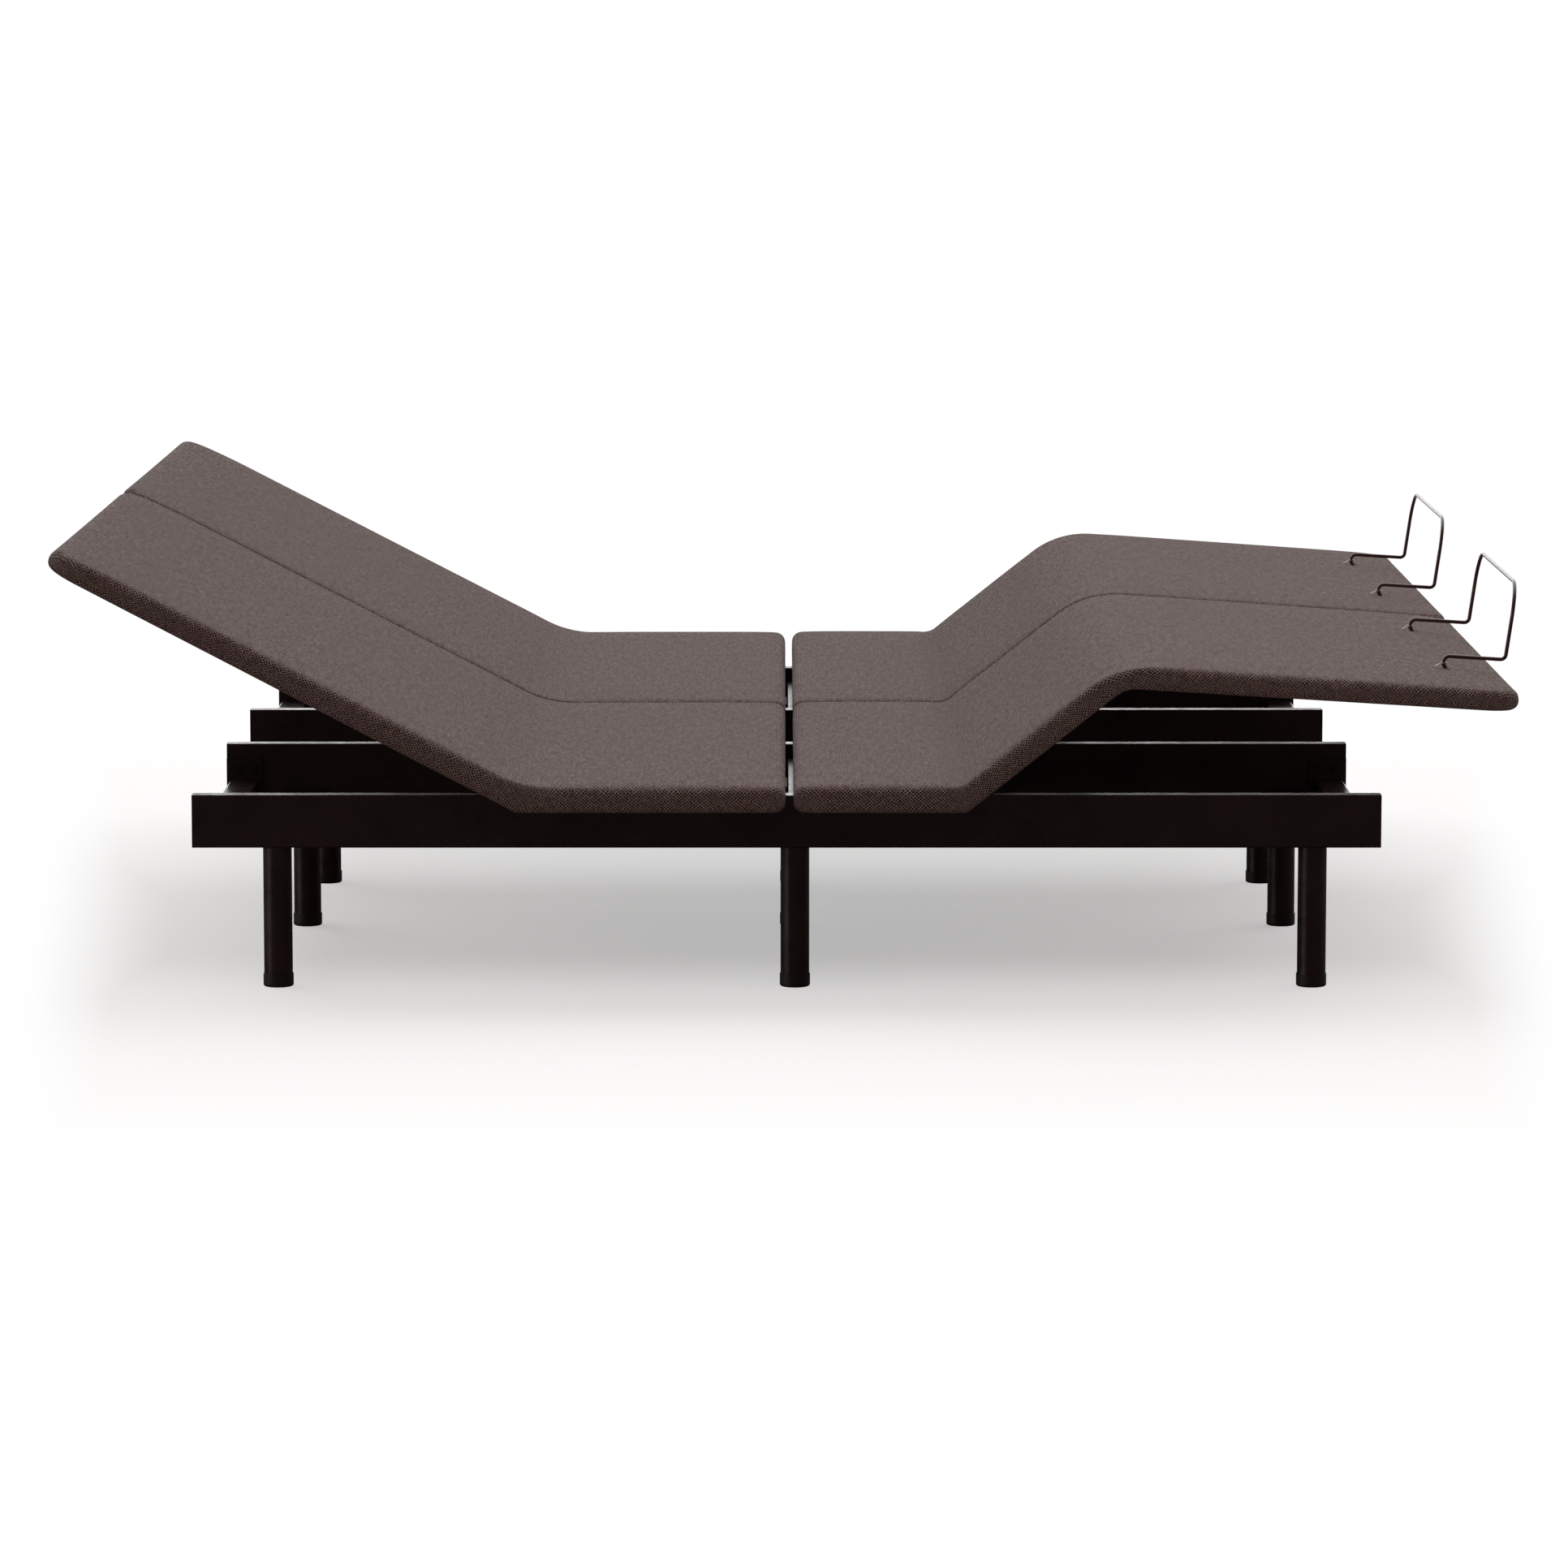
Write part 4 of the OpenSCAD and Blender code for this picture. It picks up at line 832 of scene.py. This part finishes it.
def painted_white_share(tree, along, behind):
    """How far painted white covers the lit floor and lightens its shadow, from a place's X and Y.
    """
    in_front = math_node(tree, "MULTIPLY", behind, -1.0)
    lean = math_node(tree, "MULTIPLY", in_front, WHITE_LEAN)
    beside = math_node(tree, "ADD", math_node(tree, "ABSOLUTE", along), lean)
    white_paint = 0.0
    for distance, rises in ((beside, WHITE_BESIDE), (behind, WHITE_BEHIND),
                            (in_front, WHITE_IN_FRONT)):
        for start, end, most in rises:
            rise = spread(tree, distance, (start, end), (0.0, most), "SMOOTHSTEP")
            white_paint = math_node(tree, "MAXIMUM", white_paint, rise)
    return white_paint


def make_floor():
    """A wide pale floor that keeps the object's shadow, lightened in places by painted white, and
    is white away from it.
    """
    corners = [(-FLOOR_REACH, -FLOOR_REACH, 0), (FLOOR_REACH, -FLOOR_REACH, 0),
               (FLOOR_REACH, FLOOR_REACH, 0), (-FLOOR_REACH, FLOOR_REACH, 0)]
    floor = mesh_object("floor", corners, [(0, 1, 2, 3)], smooth_shading=False)
    made, tree, shader = new_material("floor")
    tree.nodes.remove(shader)
    apart = node(tree, "ShaderNodeSeparateXYZ", {"Vector": object_place(tree)})
    behind = apart.outputs["Y"]
    white_paint = painted_white_share(tree, apart.outputs["X"], behind)
    seen = node(tree, "ShaderNodeBsdfDiffuse", {"Color": FLOOR_COLOUR})
    glow = node(tree, "ShaderNodeEmission", {"Color": WHITE, "Strength": FLOOR_GLOW})
    lit = node(tree, "ShaderNodeAddShader", {0: seen.outputs[0], 1: glow.outputs[0]})
    white = node(tree, "ShaderNodeEmission", {"Color": WHITE, "Strength": WHITE_STRENGTH})
    # The lit floor, or painted white over it that lightens its shadow by place
    shown = mix_shader(tree, white_paint, lit, white)
    bounce = node(tree, "ShaderNodeBsdfDiffuse", {"Color": BOUNCE_COLOUR})
    tone = toned(tree, behind, GLOSS_NEAR, GLOSS_FAR, source=GLOSS_CHANGE)
    mirrored = node(tree, "ShaderNodeBsdfDiffuse", {"Color": tone})
    path = node(tree, "ShaderNodeLightPath")
    unseen = mix_shader(tree, path.outputs["Is Glossy Ray"], bounce, mirrored)
    choice = mix_shader(tree, path.outputs["Is Camera Ray"], unseen, shown)
    output = next(n for n in tree.nodes if n.type == "OUTPUT_MATERIAL")
    feed(tree, output.inputs["Surface"], choice.outputs[0])
    floor.data.materials.append(made)


# ---------- Light and camera ----------

# The world: the light that fills the shadows, and what gloss shows of it from front to back
FILL_COLOUR = (1.0, 0.80, 0.72, 1)
FILL_STRENGTH = 0.34
GLOSS_TURN = (-0.2, 0.6)
GLOSS_STRENGTH = (0.06, 1.0)

# The camera: its place in front of the object, how far it looks down in degrees, and its lens
# and sensor in millimetres
CAMERA_PLACE = (-0.0103, -9.422, 1.385)
CAMERA_DOWN = 7.334
LENS = 152.0
SENSOR = 36.0
CLIP_END = 200.0


def make_world():
    """White to the camera, darker in front than behind to gloss, and a soft fill to the rest."""
    world = bpy.data.worlds.new("studio")
    bpy.context.scene.world = world
    world.use_nodes = True
    tree = world.node_tree
    tree.nodes.clear()
    towards = node(tree, "ShaderNodeTexCoord").outputs["Generated"]
    apart = node(tree, "ShaderNodeSeparateXYZ", {"Vector": towards})
    behind = spread(tree, apart.outputs["Y"], GLOSS_TURN, GLOSS_STRENGTH)
    soft = node(tree, "ShaderNodeBackground", {"Color": FILL_COLOUR, "Strength": FILL_STRENGTH})
    gloss = node(tree, "ShaderNodeBackground", {"Color": WHITE, "Strength": behind})
    white = node(tree, "ShaderNodeBackground", {"Color": WHITE, "Strength": 1.0})
    path = node(tree, "ShaderNodeLightPath")
    unseen = mix_shader(tree, path.outputs["Is Glossy Ray"], soft, gloss)
    choice = mix_shader(tree, path.outputs["Is Camera Ray"], unseen, white)
    node(tree, "ShaderNodeOutputWorld", {"Surface": choice.outputs[0]})


def make_sun(name, energy, size, turn, colour=(1.0, 1.0, 1.0)):
    """A distant lamp: how wide it is and how it is turned are in degrees."""
    lamp = bpy.data.lights.new(name, "SUN")
    lamp.energy = energy
    lamp.angle = math.radians(size)
    lamp.color = colour
    made = bpy.data.objects.new(name, lamp)
    made.rotation_euler = [math.radians(part) for part in turn]
    bpy.context.scene.collection.objects.link(made)
    return made


def make_lamps():
    """A broad soft lamp overhead, and a strip at the side that only shows in gloss."""
    make_sun("overhead_softbox", energy=2.45, size=102, turn=(-41, 0, 0))
    strip = make_sun("side_strip", energy=0.9, size=30, turn=(85, 0, -72),
                     colour=(1.0, 0.85, 0.78))
    strip.visible_diffuse = False


def make_camera():
    """The photograph's viewing angle, with a long lens."""
    camera = bpy.data.cameras.new("camera")
    camera.sensor_width = SENSOR
    camera.lens = LENS
    camera.clip_end = CLIP_END
    made = bpy.data.objects.new("camera", camera)
    made.location = CAMERA_PLACE
    made.rotation_euler = (math.radians(90 - CAMERA_DOWN), 0, 0)
    bpy.context.scene.collection.objects.link(made)
    bpy.context.scene.camera = made


make_camera()
make_world()
make_lamps()
make_floor()
dress_nodes()
for side in SIDES:
    make_covers(side)

bpy.context.scene.view_settings.view_transform = "Standard"
